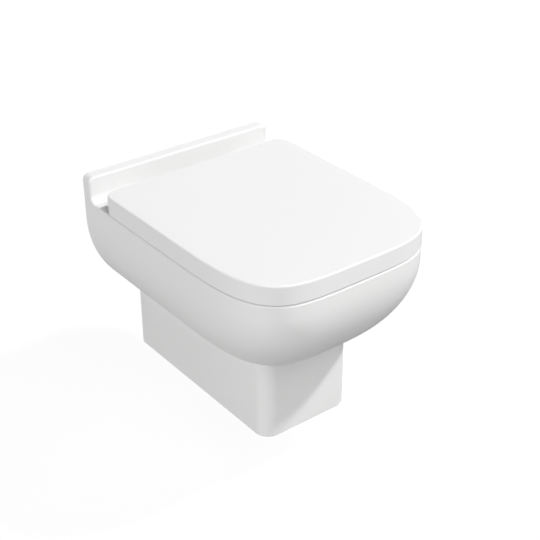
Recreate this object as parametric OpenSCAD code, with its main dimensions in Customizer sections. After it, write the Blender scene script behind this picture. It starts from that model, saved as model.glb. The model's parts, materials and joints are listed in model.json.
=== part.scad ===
/* [Pan] */
// Width of the pan across its rim
pan_w = 361; // [340:1:400]
// How far the pan stands out from the wall
pan_d = 479; // [470:1:540]
// Height of the rim above the underside of the foot
pan_h = 321; // [310:1:350]
// Height of the rim above the wall studs
rim_rise = 80; // [76:1:90]
// Thickness of the ceramic walls
wall_t = 11; // [9:0.5:13]
// Thickness of the rim and of the ledge behind the bowl
deck_t = 12; // [10:0.5:14]
// Radius of the outer edge of the rim
rim_edge_r = 3; // [2:0.5:5]

/* [Flanks] */
// Depth below the rim at which the flanks start to turn in
flank_drop = 33; // [26:1:45]
// Radius of that turn on the flanks
flank_r = 182; // [150:1:200]
// Lean of the lower flanks away from upright
flank_lean = 42; // [38:0.5:44]
// Depth below the rim at which the front starts to turn in
nose_drop = 22; // [15:1:40]
// Radius of that turn at the front
nose_r = 162; // [130:1:180]
// Lean of the lower front away from upright
nose_lean = 50; // [46:0.5:54]

/* [Foot] */
// Width of the foot
foot_w = 177; // [165:1:190]
// Depth of the foot from the wall
foot_d = 365; // [345:1:375]
// Radius of the upright front corners of the foot
foot_r = 26; // [15:1:40]
// Radius round the bottom edge of the foot
foot_edge_r = 5; // [3:0.5:8]

/* [Upstand] */
// Height of the upstand above the ledge
upstand_h = 44; // [30:1:60]
// Thickness of the upstand
upstand_t = 22; // [18:1:26]
// Radius of the two top corners of the upstand
upstand_corner_r = 14; // [8:1:20]
// Radius of the hollow between upstand and ledge
upstand_foot_r = 13; // [8:1:14]
// Radius of the top edge of the upstand
upstand_edge_r = 4; // [2:0.5:6]

/* [Bowl] */
// Width of the bowl opening
bowl_w = 256; // [240:1:270]
// Distance from the wall to the back of the bowl opening
bowl_back = 125; // [122:1:135]
// Width of the rim in front of the bowl opening
bowl_front_rim = 49; // [44:1:60]
// How far the rim stands in over the basin
rim_lip = 4; // [2:0.5:6]
// Thickness of the basin wall
basin_t = 8; // [7:0.5:9]
// Radius of the edge of the bowl opening
bowl_edge_r = 8; // [5:0.5:9]
// Depth of the basin's outlet below the rim
basin_depth = 230; // [225:1:232]

/* [Plumbing] */
// Distance between the two wall studs
stud_pitch = 180; // [170:1:190]
// Diameter of the hole in each plastic stud sleeve
stud_hole_d = 13; // [12.5:0.1:14]
// Wall of the plastic stud sleeves
sleeve_wall = 4; // [3:0.25:5]
// Thickness of the collar of a stud sleeve
collar_t = 3; // [2:0.5:4]
// How far that collar stands out round the sleeve
collar_w = 4.5; // [3:0.5:6]
// Height of the flush inlet above the studs
inlet_rise = 35; // [34:0.5:36]
// Bore of the flush inlet
inlet_bore_d = 55; // [54:0.5:56]
// Depth of the bore of the flush inlet
inlet_depth = 40; // [30:1:44]
// Depth of the waste outlet below the studs
outlet_drop = 100; // [98:1:102]
// Outside diameter of the waste spigot
outlet_d = 102; // [98:1:104]
// Length of the straight waste spigot
outlet_len = 40; // [35:1:45]
// Bore of the trapway
trap_bore_d = 54; // [50:1:56]

/* [Lid] */
// Total height of the closed lid above the rim
lid_top = 34; // [33:0.5:38]
// Gap between the rim and the lower edge of the lid
lid_gap = 3.3; // [2.5:0.1:4]
// Thickness of the top of the lid
lid_top_t = 5; // [4:0.25:5.5]
// Thickness of the skirt of the lid
lid_skirt_t = 4; // [3:0.25:5]
// Radius of the top edge of the lid
lid_edge_r = 4; // [2:0.5:4.5]
// Distance from the wall to the back edge of the lid
lid_back = 61.7; // [61:0.1:63]
// How far the lid reaches past the pan on each side
lid_over = 0.5; // [0:0.25:1]
// Radius of the two back corners of the lid
lid_corner_r = 22; // [14:1:30]
// Radius of the lower back edge of the lid, struck from the hinge axis
lid_heel_r = 13.7; // [13:0.1:16]

/* [Seat] */
// Height of the seat above the rim
seat_top = 24; // [22:0.5:25]
// Height of the four seat buffers
seat_buffer_h = 4.6; // [4:0.1:5]
// Radius of the upper edge of the seat
seat_edge_r = 5; // [3:0.5:6]
// Gap between the seat and the skirt of the lid
seat_gap = 2; // [1.5:0.1:3]
// Width of the hole in the seat
seat_hole_w = 212; // [190:1:230]
// Width of the seat in front of its hole
seat_front_w = 54; // [45:1:65]
// Distance from the wall to the back of the hole in the seat
seat_hole_back = 152; // [148:1:165]

/* [Hinge] */
// Distance between the two seat fixing holes
hinge_pitch = 155; // [145:1:165]
// Distance from the wall to the hinge axis
hinge_back = 73; // [72.8:0.1:74]
// Height of the hinge axis above the ledge
hinge_rise = 17; // [16.8:0.1:17.4]
// Width of each hinge housing
housing_w = 34; // [32:0.5:38]
// Radius of the hinge housings and of the lugs round the axis
lug_r = 10.6; // [10.2:0.1:10.8]
// Diameter of the hinge pins
pin_d = 8; // [7:0.25:8.5]
// Diameter of the hinge posts
post_d = 14; // [13:0.25:14.5]
// Diameter of the seat fixing holes in the ledge
seat_hole_d = 15; // [14:0.5:16]
// Diameter of the fixing screws
screw_d = 6; // [5:0.5:6]
// Diameter of the release buttons
button_d = 9; // [8:0.25:9.5]
// Travel of the release buttons
button_travel = 2.5; // [1.5:0.1:3]
// Radial clearance of the running fits
run_fit = 0.06; // [0.03:0.01:0.1]
// Gap between pieces that lie next to each other and move
move_gap = 0.3; // [0.3:0.05:0.5]

/* [Hidden] */
$fn = 48;

white = "white";
steel = "silver";
grey = "gainsboro";
black = "dimgray";

// Heights, from the line through the two wall studs
rim_z = rim_rise;
foot_z = rim_rise - pan_h;
deck_z = rim_z - deck_t;
flank_z = rim_z - flank_drop;
nose_z = rim_z - nose_drop;
upstand_z = rim_z + upstand_h;
inlet_z = inlet_rise;
outlet_z = -outlet_drop;
basin_z = rim_z - basin_depth;
axis_z = rim_z + hinge_rise;
lid_z = rim_z + lid_top;
lid_low_z = rim_z + lid_gap;
seat_z = rim_z + seat_top;
seat_low_z = rim_z + seat_buffer_h;
// Lower end of the bowl's outer wall, hidden in the foot
body_low_z = -150;
// Lowest height at which the plan of the bowl still changes
low_z = -125;

// Plan of the rim: straight sides as far as full_y, then a full front with tight corners
half_w = pan_w / 2;
full_y = 205;
nose_min = 60;
side_power = 4.31;
front_power = 4.91;
low_power = 2.5;
power_rate = 0.7;
plan_steps = 32;

// Back of the casting: flange with two stud lugs, upstand and the ledge under its hollow
flange_t = 16;
flange_low_z = -38;
back_d = upstand_t + upstand_foot_r;
stud_lug_d = 44;
stud_lug_len = 50;
sleeve_d = stud_hole_d + 2 * sleeve_wall;

// Flush duct: the horn at the wall, and the flat slot by which it enters the basin
horn_wall = 5;
horn_r = inlet_bore_d / 2 + horn_wall;
horn_len = inlet_depth + 6;
duct_wall = 7;
duct_step = 4;
flush_z = deck_z - 24;
flush_w = 64;
flush_h = 20;

// Basin: squareness of its opening, and how far its outlet is wider than the trapway
bowl_power = 2.75;
bowl_front = pan_d - bowl_front_rim;
outlet_r = trap_bore_d / 2 + 8;
basin_back_w = flush_w + 40;

// Trapway: where it leaves the basin, its lowest centre, its crest and its spigot
trap_in_y = 240;
trap_low_z = foot_z + wall_t + trap_bore_d / 2 + basin_t + 2;
crest_z = -72;
spigot_set = 4;
outlet_wall = 9;

// Seat fixings, from the ledge up
gasket_t = 0.8;
disc_t = 2;
disc_d = 46;
disc_bevel = 1;
disc_z = rim_z + gasket_t;
post_z = disc_z + disc_t;
post_h = 17;
post_bevel = 1;
post_top_z = post_z + post_h;
groove_w = 2;
groove_deep = 1;
groove_z = post_h - 4.5;
screw_gap = 0.3;
head_d = 10;
head_h = 5;
head_z = post_top_z - head_h - 1;
socket_w = 5.8;
socket_h = 2.5;

// Seat fixings, from the ledge down
bush_len = 26;
bush_bulge = 1.5;
bush_gap = 0.3;
bush_low_z = deck_z - bush_len;
nut_w = 10;
nut_h = 5;
screw_tail = 3;

// Hinge housings, release buttons and their springs
axis_y = -hinge_back;
housing_z = post_z + move_gap;
housing_back = 1;
nose_len = 23;
nose_rise = 8.5;
nose_bevel = 3;
button_in = 15.2;
button_y = axis_y - button_in;
button_floor_z = rim_z + 9;
button_top_z = axis_z + lug_r - 0.2;
button_bevel = 1;
stem_d = 3.4;
stem_len = 5;
spring_wire = 0.8;
spring_r = 2.8;
spring_turns = 4;
spring_h = 9;
spring_top_z = button_floor_z + spring_h;

// Lugs, pins, dampers and bushes along the hinge axis
pin_in = 7;
pin_short = 1.5;
lug_gap = 0.8;
plain_lug_w = 22;
damper_len = 44;
damper_r = 8.2;
damper_cap = 2;
damper_in = 10;
damper_gap = 0.1;
bush_wall = 1.6;
damper_x = hinge_pitch / 2 - housing_w / 2 - lug_gap - damper_len;
plain_x = hinge_pitch / 2 + housing_w / 2 + lug_gap;

// Seat, its buffers and those of the lid
seat_margin = lid_skirt_t + seat_gap;
seat_back = hinge_back + 25;
seat_len = pan_d - seat_margin;
seat_hole_front = seat_len - seat_front_w;
seat_bevel = 1.5;
buffer_w = 12;
buffer_l = 34;
buffer_spots = [[half_w - 32.5, hinge_back + 97], [half_w - 62.5, pan_d - 59]];

// Lid: the room that it leaves for the hinges
lid_bevel = 0.8;
lid_inner_r = 3;
hinge_zone = plain_x + plain_lug_w + 4.7;
sweep_d = 30;

// Skin over a stack of rings with the same number of points. Rings run anticlockwise seen from the
// side to which the stack climbs. A closed stack joins its last ring to its first.
module skin(rings, closed = false) {
    n = len(rings[0]);
    m = len(rings);
    pts = [for (r = rings) for (q = r) q];
    walls = [for (i = [0 : closed ? m - 1 : m - 2]) for (j = [0 : n - 1])
        let (k = (j + 1) % n, up = (i + 1) % m, a = i * n + j, b = i * n + k, c = up * n + k, d = up * n + j)
        each [[a, c, b], [a, d, c]]];
    caps = closed ? [] : [[for (j = [0 : n - 1]) j], [for (j = [n - 1 : -1 : 0]) (m - 1) * n + j]];
    polyhedron(points = pts, faces = concat(walls, caps), convexity = 8);
}

// How far a wall that turns in below a height has come in at a depth under it
function turn_in(depth, r, lean) =
    depth <= 0 ? 0 :
    depth < r * sin(lean) ? r - sqrt(r * r - depth * depth) :
    r * (1 - cos(lean)) + (depth - r * sin(lean)) * tan(lean);

// Half width and depth of the outside of the bowl at a height
function flank_at(z) = half_w - turn_in(flank_z - z, flank_r, flank_lean);
function nose_at(z) = pan_d - turn_in(nose_z - z, nose_r, nose_lean);

// Share of the way from the low, round plan to the full plan of the rim
function fullness(z) = pow(min(1, max(0, (z - low_z) / (flank_z - low_z))), power_rate);

// Plan ring: from the back left corner round the front to the back right corner
function plan_ring(w, d, back, mid, ps, pf, z) = concat(
    [[-w, -back, z]],
    [for (i = [0 : plan_steps / 2]) let (t = 180 * i / plan_steps)
        [-w * pow(cos(t), 2 / ps), -mid - (d - mid) * pow(sin(t), 2 / pf), z]],
    [for (i = [plan_steps / 2 - 1 : -1 : 0]) let (t = 180 * i / plan_steps)
        [w * pow(cos(t), 2 / ps), -mid - (d - mid) * pow(sin(t), 2 / pf), z]],
    [[w, -back, z]]);

// Section of the bowl's outside at a height, set in by a margin, with its back at a distance from the wall
function pan_ring(z, margin = 0, back = 0, at = undef) =
    let (f = fullness(z), mid = min(full_y, nose_at(z) - margin - nose_min))
    plan_ring(flank_at(z) - margin, nose_at(z) - margin, back, mid,
        low_power + (side_power - low_power) * f, low_power + (front_power - low_power) * f,
        is_undef(at) ? z : at);

function reverse(list) = [for (i = [len(list) - 1 : -1 : 0]) list[i]];

// Heights of the sections from the bottom up: along the lean, then round the turn of the flank
pan_heights =
    let (turn_z = flank_z - flank_r * sin(flank_lean))
    concat([for (i = [0 : 3]) body_low_z + (turn_z - body_low_z) * i / 4],
        [for (i = [7 : -1 : 0]) flank_z - flank_r * sin(flank_lean * i / 7)]);

// Outside of the bowl with a rounded rim edge, as one solid
module pan_body() {
    edge = [for (a = [0, 30, 60, 90])
        pan_ring(rim_z, rim_edge_r * (1 - cos(a)), 0, rim_z - rim_edge_r * (1 - sin(a)))];
    skin(concat([for (z = pan_heights) pan_ring(z)], edge));
}

// Hollow between the outer wall and the basin, open at the back
module pan_hollow() {
    skin(concat([for (z = pan_heights) pan_ring(z, wall_t, -1)], [pan_ring(deck_z, wall_t, -1)]));
}

// Ring of the basin or of the opening above it, from its front, back and half width
function bowl_ring(front, back, w, p, z, grow = 0) =
    let (c = (front + back) / 2, l = (front - back) / 2 + grow)
    [for (i = [0 : 47]) let (t = 7.5 * i + 3.75)
        [-(w + grow) * sign(cos(t)) * pow(abs(cos(t)), 2 / p),
         -c - l * sign(sin(t)) * pow(abs(sin(t)), 2 / p), z]];

// Stations of the basin under the rim: depth share, front, back, half width, squareness
basin_stations = [
    [0.00, bowl_front + rim_lip, bowl_back - rim_lip, bowl_w / 2 + rim_lip, 2.7],
    [0.14, bowl_front + 2, bowl_back + 1, bowl_w / 2 + 2, 2.65],
    [0.32, bowl_front - 14, bowl_back + 10, bowl_w / 2 - 5, 2.5],
    [0.50, bowl_front - 42, bowl_back + 36, bowl_w / 2 - 20, 2.35],
    [0.68, bowl_front - 86, bowl_back + 68, bowl_w / 2 - 44, 2.2],
    [0.84, bowl_front - 128, bowl_back + 80, bowl_w / 2 - 70, 2.1],
    [0.95, trap_in_y + outlet_r + 3, trap_in_y - outlet_r - 1, outlet_r + 2, 2],
    [1.00, trap_in_y + trap_bore_d / 2, trap_in_y - trap_bore_d / 2, trap_bore_d / 2, 2]];

function basin_ring(s, grow) =
    bowl_ring(s[1], s[2], s[3], s[4], deck_z + (basin_z - deck_z) * s[0], grow);

module basin_outside() {
    skin([for (s = reverse(basin_stations)) basin_ring(s, basin_t)]);
}

// Opening in the rim, with a rounded edge
module bowl_opening() {
    r = bowl_edge_r;
    steps = concat([[deck_z - 1, 0]],
        [for (a = [0, 25, 50, 75, 90]) [rim_z - r * (1 - sin(a)), r * (1 - cos(a))]],
        [[rim_z + 1, r]]);
    skin([for (q = steps) bowl_ring(bowl_front, bowl_back, bowl_w / 2, bowl_power, q[0], q[1])]);
}

// Foot outline: square at the wall, round front corners
function foot_ring(margin, z, back = 0) =
    let (w = foot_w / 2 - margin, d = foot_d - margin, r = max(2, foot_r - margin))
    concat([[-w, -back, z]],
        [for (a = [180 : 11.25 : 270]) [-w + r + r * cos(a), -d + r + r * sin(a), z]],
        [for (a = [270 : 11.25 : 360]) [w - r + r * cos(a), -d + r + r * sin(a), z]],
        [[w, -back, z]]);

function points_2d(ring) = [for (q = ring) [q[0], q[1]]];

module foot_inside() {
    translate([0, 0, foot_z + wall_t])
        linear_extrude(-foot_z - wall_t + flange_low_z)
            polygon(points_2d(foot_ring(wall_t, 0, -1)));
}

// Place of the casting's back: behind the outer walls, and under the hollow of the upstand
module back_room() {
    translate([-half_w - 1, -flange_t, flange_low_z])
        cube([pan_w + 2, flange_t + 1, deck_z + 1 - flange_low_z]);
    translate([-half_w - 1, -back_d, deck_z])
        cube([pan_w + 2, back_d + 1, deck_t + 1]);
}

// Outer wall of the bowl with its rim and ledge, open at the back
module pan_shell() {
    color(white)
    difference() {
        pan_body();
        pan_hollow();
        back_room();
        bowl_opening();
        foot_inside();
        for (s = [-1, 1])
            translate([s * hinge_pitch / 2, -hinge_back, deck_z - 1])
                cylinder(h = deck_t + 2, d = seat_hole_d);
    }
}

// Back of the casting: flange with the stud lugs and the horn's hole, and the upstand
module pan_back() {
    color(white)
    difference() {
        union() {
            intersection() {
                pan_body();
                translate([-half_w - 1, -flange_t, flange_low_z])
                    cube([pan_w + 2, flange_t + 1, deck_z + 1 - flange_low_z]);
            }
            upstand();
            for (s = [-1, 1])
                translate([s * stud_pitch / 2, -flange_t + 1, 0])
                    rotate([90, 0, 0])
                        cylinder(h = stud_lug_len - flange_t + 1, d = stud_lug_d);
        }
        for (s = [-1, 1])
            translate([s * stud_pitch / 2, 1, 0])
                rotate([90, 0, 0])
                    cylinder(h = stud_lug_len + 2, d = sleeve_d);
        translate([0, 1, inlet_z])
            rotate([90, 0, 0])
                cylinder(h = flange_t + 2, r = horn_r);
    }
}

// Upstand: side profile with the hollow at its foot, cut to the front outline
module upstand() {
    r = upstand_foot_r;
    e = upstand_edge_r;
    c = upstand_corner_r;
    side = concat(
        [[0, deck_z], [back_d, deck_z]],
        [for (a = [0 : 15 : 90]) [back_d - r * sin(a), rim_z + r - r * cos(a)]],
        [for (a = [0 : 15 : 90]) [upstand_t - e + e * cos(a), upstand_z - e + e * sin(a)]],
        [[0, upstand_z]]);
    intersection() {
        rotate([90, 0, -90])
            translate([0, 0, -half_w])
                linear_extrude(pan_w)
                    polygon(side);
        translate([0, 1, 0])
            rotate([90, 0, 0])
                linear_extrude(back_d + 2)
                    union() {
                        translate([-half_w, deck_z])
                            square([pan_w, upstand_z - c - deck_z]);
                        translate([-half_w + c, deck_z])
                            square([pan_w - 2 * c, upstand_z - deck_z]);
                        for (s = [-1, 1])
                            translate([s * (half_w - c), upstand_z - c])
                                circle(c);
                    }
    }
}

// Basin wall between two of its stations
module basin_wall(first, last) {
    part = [for (i = [first : last]) basin_stations[i]];
    skin(concat([for (s = reverse(part)) basin_ring(s, basin_t)], [for (s = part) basin_ring(s, 0)]),
        closed = true);
}

// Place of the basin's upper back wall, where the flush enters
module basin_back_room() {
    translate([-basin_back_w / 2, -bowl_back - 60, basin_z])
        cube([basin_back_w, 90, deck_z + 1 - basin_z]);
}

// Front and sides of the basin under the rim
module pan_basin() {
    color(white)
    difference() {
        basin_wall(0, 2);
        basin_back_room();
    }
}

// Back wall of the basin with the flush slot
module pan_basin_back() {
    color(white)
    difference() {
        intersection() {
            basin_wall(0, 2);
            basin_back_room();
        }
        translate([0, 30 - bowl_back, flush_z])
            rotate([90, 0, 0])
                linear_extrude(60)
                    flush_outline(0);
    }
}

// Lower part of the basin, narrowing to its outlet
module pan_basin_low() {
    color(white)
    basin_wall(2, len(basin_stations) - 1);
}

// Flat-ended slot through which the flush enters the basin
module flush_outline(grow) {
    hull()
        for (s = [-1, 1])
            translate([s * (flush_w - flush_h) / 2, 0])
                circle(flush_h / 2 + grow, $fn = 32);
}

// Flush inlet: horn at the wall, narrowing duct to the basin
module pan_inlet() {
    color(white)
    difference() {
        union() {
            translate([0, 0, inlet_z])
                rotate([90, 0, 0])
                    cylinder(h = horn_len, r = horn_r);
            difference() {
                hull() {
                    translate([0, -horn_len + 8, inlet_z])
                        rotate([90, 0, 0])
                            cylinder(h = duct_wall, r = horn_r - 1, $fn = 32);
                    translate([0, -bowl_back - 8, flush_z])
                        rotate([90, 0, 0])
                            linear_extrude(4)
                                flush_outline(duct_wall);
                }
                basin_outside();
            }
        }
        translate([0, 1, inlet_z])
            rotate([90, 0, 0])
                cylinder(h = inlet_depth + 1, d = inlet_bore_d);
        hull() {
            translate([0, -inlet_depth + 0.5, inlet_z])
                rotate([90, 0, 0])
                    cylinder(h = 1, r = inlet_bore_d / 2 - duct_step, $fn = 32);
            translate([0, -bowl_back - 12, flush_z])
                rotate([90, 0, 0])
                    linear_extrude(2)
                        flush_outline(0);
        }
    }
}

// Trapway: chosen points of its centre line, as distance from the wall and height
trap_line = [
    [trap_in_y, basin_z + 12], [trap_in_y, basin_z], [trap_in_y - 5, trap_low_z + 19],
    [trap_in_y - 18, trap_low_z + 5], [trap_in_y - 39, trap_low_z], [trap_in_y - 61, trap_low_z + 8],
    [trap_in_y - 77, trap_low_z + 30], [trap_in_y - 91, trap_low_z + 66], [trap_in_y - 109, crest_z - 14],
    [trap_in_y - 136, crest_z], [trap_in_y - 166, crest_z - 12], [outlet_len + 12, outlet_z + 4],
    [outlet_len - 3, outlet_z], [outlet_len - 15, outlet_z]];

// Smooth curve through four neighbouring points
function smooth(a, b, c, d, t) =
    0.5 * ((2 * b) + (c - a) * t + (2 * a - 5 * b + 4 * c - d) * t * t + (3 * b - a - 3 * c + d) * t * t * t);

function trap_path() = [for (i = [1 : len(trap_line) - 3]) for (t = [0, 0.5])
    smooth(trap_line[i - 1], trap_line[i], trap_line[i + 1], trap_line[i + 2], t)];

// Radius along the trapway: even as far as the crest, then widening to the spigot
function trap_r(i, n, extra) =
    let (u = max(0, (i / (n - 1) - 0.6) / 0.4), wide = outlet_d / 2 - outlet_wall + 1)
    trap_bore_d / 2 + (wide - trap_bore_d / 2) * u * u * (3 - 2 * u)
    + (extra ? basin_t + (outlet_wall - 2 - basin_t) * u : 0);

function trap_rings(extra) =
    let (path = concat(trap_path(), [trap_line[len(trap_line) - 2]]), n = len(path))
    [for (i = [0 : n - 1])
        let (dir = i == 0 ? [0, -1] : i == n - 1 ? [-1, 0] :
                (path[i + 1] - path[i - 1]) / norm(path[i + 1] - path[i - 1]),
            r = trap_r(i, n, extra))
        [for (j = [0 : 23]) let (a = -15 * j, u = r * cos(a), v = r * sin(a))
            [v, -path[i][0] + dir[1] * u, path[i][1] + dir[0] * u]]];

module pan_trapway() {
    color(white)
    union() {
        skin(concat(trap_rings(true), reverse(trap_rings(false))), closed = true);
        translate([0, -spigot_set, outlet_z])
            rotate([90, 0, 0])
                difference() {
                    cylinder(h = outlet_len - spigot_set, d = outlet_d);
                    translate([0, 0, -1])
                        cylinder(h = outlet_len + 2, r = outlet_d / 2 - outlet_wall);
                }
    }
}

// Foot: open towards the wall and up into the shell
module pan_pedestal() {
    color(white)
    difference() {
        skin(concat(
            [for (a = [0, 30, 60, 90])
                foot_ring(foot_edge_r * (1 - sin(a)), foot_z + foot_edge_r * (1 - cos(a)))],
            [foot_ring(0, flange_low_z - 20)]));
        foot_inside();
        pan_body();
    }
}

// Plastic sleeves in the stud holes, collar inside
module stud_sleeves() {
    color(black)
    for (s = [-1, 1])
        translate([s * stud_pitch / 2, 0, 0])
            rotate([90, 0, 0])
                difference() {
                    union() {
                        cylinder(h = stud_lug_len + collar_t, d = sleeve_d);
                        translate([0, 0, stud_lug_len])
                            cylinder(h = collar_t, d = sleeve_d + 2 * collar_w);
                    }
                    translate([0, 0, -1])
                        cylinder(h = stud_lug_len + collar_t + 2, d = stud_hole_d);
                }
}

module at_hinges() {
    for (s = [-1, 1])
        translate([s * hinge_pitch / 2, axis_y, 0])
            children();
}

// Soft washers between the ledge and the steel discs
module hinge_gaskets() {
    color(black)
    at_hinges()
        translate([0, 0, rim_z])
            difference() {
                cylinder(h = gasket_t, d = disc_d - 2);
                translate([0, 0, -1])
                    cylinder(h = gasket_t + 2, d = seat_hole_d);
            }
}

// Steel cover discs with a bevelled edge
module hinge_discs() {
    color(steel)
    at_hinges()
        translate([0, 0, disc_z])
            rotate_extrude()
                polygon([[screw_d / 2 + screw_gap, 0], [disc_d / 2, 0], [disc_d / 2, disc_t - disc_bevel],
                    [disc_d / 2 - disc_bevel, disc_t], [screw_d / 2 + screw_gap, disc_t]]);
}

// Hollow posts on which the hinge housings are pushed: grooved, with a counterbore for the screw head
module hinge_posts() {
    r = post_d / 2;
    color(steel)
    at_hinges()
        translate([0, 0, post_z])
            rotate_extrude()
                polygon([[screw_d / 2 + screw_gap, 0], [r, 0],
                    [r, groove_z - groove_w / 2 - groove_deep], [r - groove_deep, groove_z - groove_w / 2],
                    [r - groove_deep, groove_z + groove_w / 2], [r, groove_z + groove_w / 2 + groove_deep],
                    [r, post_h - post_bevel], [r - post_bevel, post_h],
                    [head_d / 2 + screw_gap, post_h], [head_d / 2 + screw_gap, head_z - post_z],
                    [screw_d / 2 + screw_gap, head_z - post_z]]);
}

// Socket-head screws from the posts down to the nuts
module fixing_screws() {
    tail_z = bush_low_z - nut_h - screw_tail;
    color(steel)
    at_hinges()
        difference() {
            union() {
                translate([0, 0, head_z])
                    cylinder(h = head_h, d = head_d);
                translate([0, 0, tail_z])
                    cylinder(h = head_z + 0.5 - tail_z, d = screw_d);
            }
            translate([0, 0, head_z + head_h - socket_h])
                cylinder(h = socket_h + 0.5, d = socket_w, $fn = 6);
        }
}

// Rubber bushes that swell under the ledge
module expansion_bushes() {
    r = seat_hole_d / 2;
    color(black)
    at_hinges()
        rotate_extrude()
            polygon([[screw_d / 2 + screw_gap, bush_low_z], [r - 1, bush_low_z], [r, bush_low_z + 2],
                [r + bush_bulge, deck_z - 8], [r + bush_bulge, deck_z - 3], [r - bush_gap, deck_z - 1],
                [r - bush_gap, rim_z - 0.5], [screw_d / 2 + screw_gap, rim_z - 0.5]]);
}

// Hexagon nuts under the bushes
module fixing_nuts() {
    color(steel)
    at_hinges()
        translate([0, 0, bush_low_z - nut_h])
            difference() {
                cylinder(h = nut_h, d = nut_w / cos(30), $fn = 6);
                translate([0, 0, -1])
                    cylinder(h = nut_h + 2, d = screw_d);
            }
}

// Hinge housing: round at the axis, with a flat nose that carries the button
module housing(side) {
    x = side * hinge_pitch / 2;
    back_y = axis_y + lug_r - housing_back;
    nose_y = axis_y - nose_len;
    nose_top_z = axis_z + nose_rise;
    color(white)
    difference() {
        union() {
            translate([x, axis_y, axis_z])
                rotate([0, 90, 0])
                    cylinder(h = housing_w, r = lug_r, center = true);
            translate([x, 0, 0])
                rotate([90, 0, 90])
                    translate([0, 0, -housing_w / 2])
                        linear_extrude(housing_w)
                            polygon([[back_y, housing_z], [back_y, axis_z], [axis_y, nose_top_z],
                                [nose_y + nose_bevel, nose_top_z], [nose_y, nose_top_z - nose_bevel],
                                [nose_y, housing_z]]);
        }
        translate([x, axis_y, housing_z - 1])
            cylinder(h = post_top_z + move_gap - housing_z + 1, d = post_d + 2 * run_fit);
        translate([x, button_y, button_floor_z])
            cylinder(h = lug_r * 2, d = button_d + move_gap);
        for (s = [-1, 1])
            translate([x + s * (housing_w / 2 - pin_in), axis_y, axis_z])
                rotate([0, s * 90, 0])
                    cylinder(h = pin_in + 1, d = pin_d);
    }
}

module housing_left() {
    housing(-1);
}

module housing_right() {
    housing(1);
}

// Plain pins for the seat on the right and for the lid on the left
module pivot_pins() {
    color(steel)
    for (s = [-1, 1])
        translate([s * (hinge_pitch / 2 + housing_w / 2 - pin_in), axis_y, axis_z])
            rotate([0, s * 90, 0])
                cylinder(h = pin_in + lug_gap + plain_lug_w - pin_short, d = pin_d);
}

// Shafts on which the two dampers brake
module damper_shafts() {
    color(steel)
    for (s = [-1, 1])
        translate([s * (hinge_pitch / 2 - housing_w / 2 + pin_in), axis_y, axis_z])
            rotate([0, -s * 90, 0])
                cylinder(h = pin_in + lug_gap + damper_in - 1, d = pin_d);
}

// Coil of a release button, closed between the floor of its hole and the button
module spring(side) {
    steps = 12;
    n = spring_turns * steps;
    low = button_floor_z + spring_wire / 2 + 0.05;
    climb = spring_top_z - button_floor_z - spring_wire - 0.1;
    color(steel)
    translate([side * hinge_pitch / 2, button_y, low])
        skin([for (i = [n : -1 : 0]) let (a = 360 * i / steps)
            [for (j = [0 : 5]) let (b = 60 * j, r = spring_r + spring_wire / 2 * cos(b))
                [r * cos(a), r * sin(a), climb * i / n + spring_wire / 2 * sin(b)]]]);
}

module spring_left() {
    spring(-1);
}

module spring_right() {
    spring(1);
}

// Release button with a stem inside its spring
module button(side) {
    h = button_top_z - spring_top_z;
    color(grey)
    translate([side * hinge_pitch / 2, button_y, 0])
        union() {
            translate([0, 0, spring_top_z])
                rotate_extrude()
                    polygon([[0, 0], [button_d / 2, 0], [button_d / 2, h - button_bevel],
                        [button_d / 2 - button_bevel, h], [0, h]]);
            translate([0, 0, spring_top_z - stem_len])
                cylinder(h = stem_len + 0.5, d = stem_d);
        }
}

module button_left() {
    button(-1);
}

module button_right() {
    button(1);
}

// Outline of the seat at a height, set in by a margin
function seat_outer(z, margin) =
    plan_ring(half_w - seat_margin - margin, seat_len - margin, seat_back + margin, full_y, side_power,
        front_power, z);

// Seat: crowned ring, with a damped lug on the left and a plain one on the right
module seat_ring() {
    r = seat_edge_r;
    color(white)
    difference() {
        union() {
            skin(concat([seat_outer(seat_low_z, seat_bevel), seat_outer(seat_low_z + seat_bevel, 0)],
                [for (a = [0, 30, 60, 90]) seat_outer(seat_z - r * (1 - sin(a)), r * (1 - cos(a)))]));
            seat_lug(-1, damper_x, damper_len);
            seat_lug(1, plain_x, plain_lug_w);
        }
        seat_hole();
        lug_bore(-1, damper_x + damper_cap, damper_len, damper_r);
        lug_bore(1, plain_x - 1, plain_lug_w + 2, pin_d / 2 + bush_wall);
    }
}

// Hole of the seat, wider at the top where the crown falls away
module seat_hole() {
    h = seat_z - seat_low_z;
    skin([for (q = [[-1, 2], [3, 0], [h - 8, 0], [h - 4, 1.5], [h - 1.5, 5], [h, 11], [h + 1, 14]])
        bowl_ring(seat_hole_front, seat_hole_back, seat_hole_w / 2, 2.5, seat_low_z + q[0], q[1])]);
}

// Lug on one side, from a distance off the middle, with a web forward to the seat
module seat_lug(side, x, w) {
    x0 = side > 0 ? x : -x - w;
    translate([x0, axis_y, axis_z])
        rotate([0, 90, 0])
            cylinder(h = w, r = lug_r);
    translate([x0, 0, 0])
        rotate([90, 0, 90])
            linear_extrude(w)
                polygon([[axis_y + 1, axis_z + lug_r - 6], [axis_y - 4, seat_z - seat_bevel],
                    [-seat_back - 6, seat_z - seat_bevel], [-seat_back - 6, seat_low_z + seat_bevel],
                    [axis_y - 4, axis_z - lug_r + 1]]);
}

// Cylinder along the hinge axis on one side, from a distance off the middle
module lug_bore(side, x, w, r) {
    translate([side > 0 ? x : -x - w, axis_y, axis_z])
        rotate([0, 90, 0])
            cylinder(h = w, r = r);
}

// Rounded pad lying along the seat
module pad(h, w, l) {
    linear_extrude(h)
        union() {
            square([w, l - w], center = true);
            for (s = [-1, 1])
                translate([0, s * (l - w) / 2])
                    circle(w / 2);
        }
}

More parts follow.
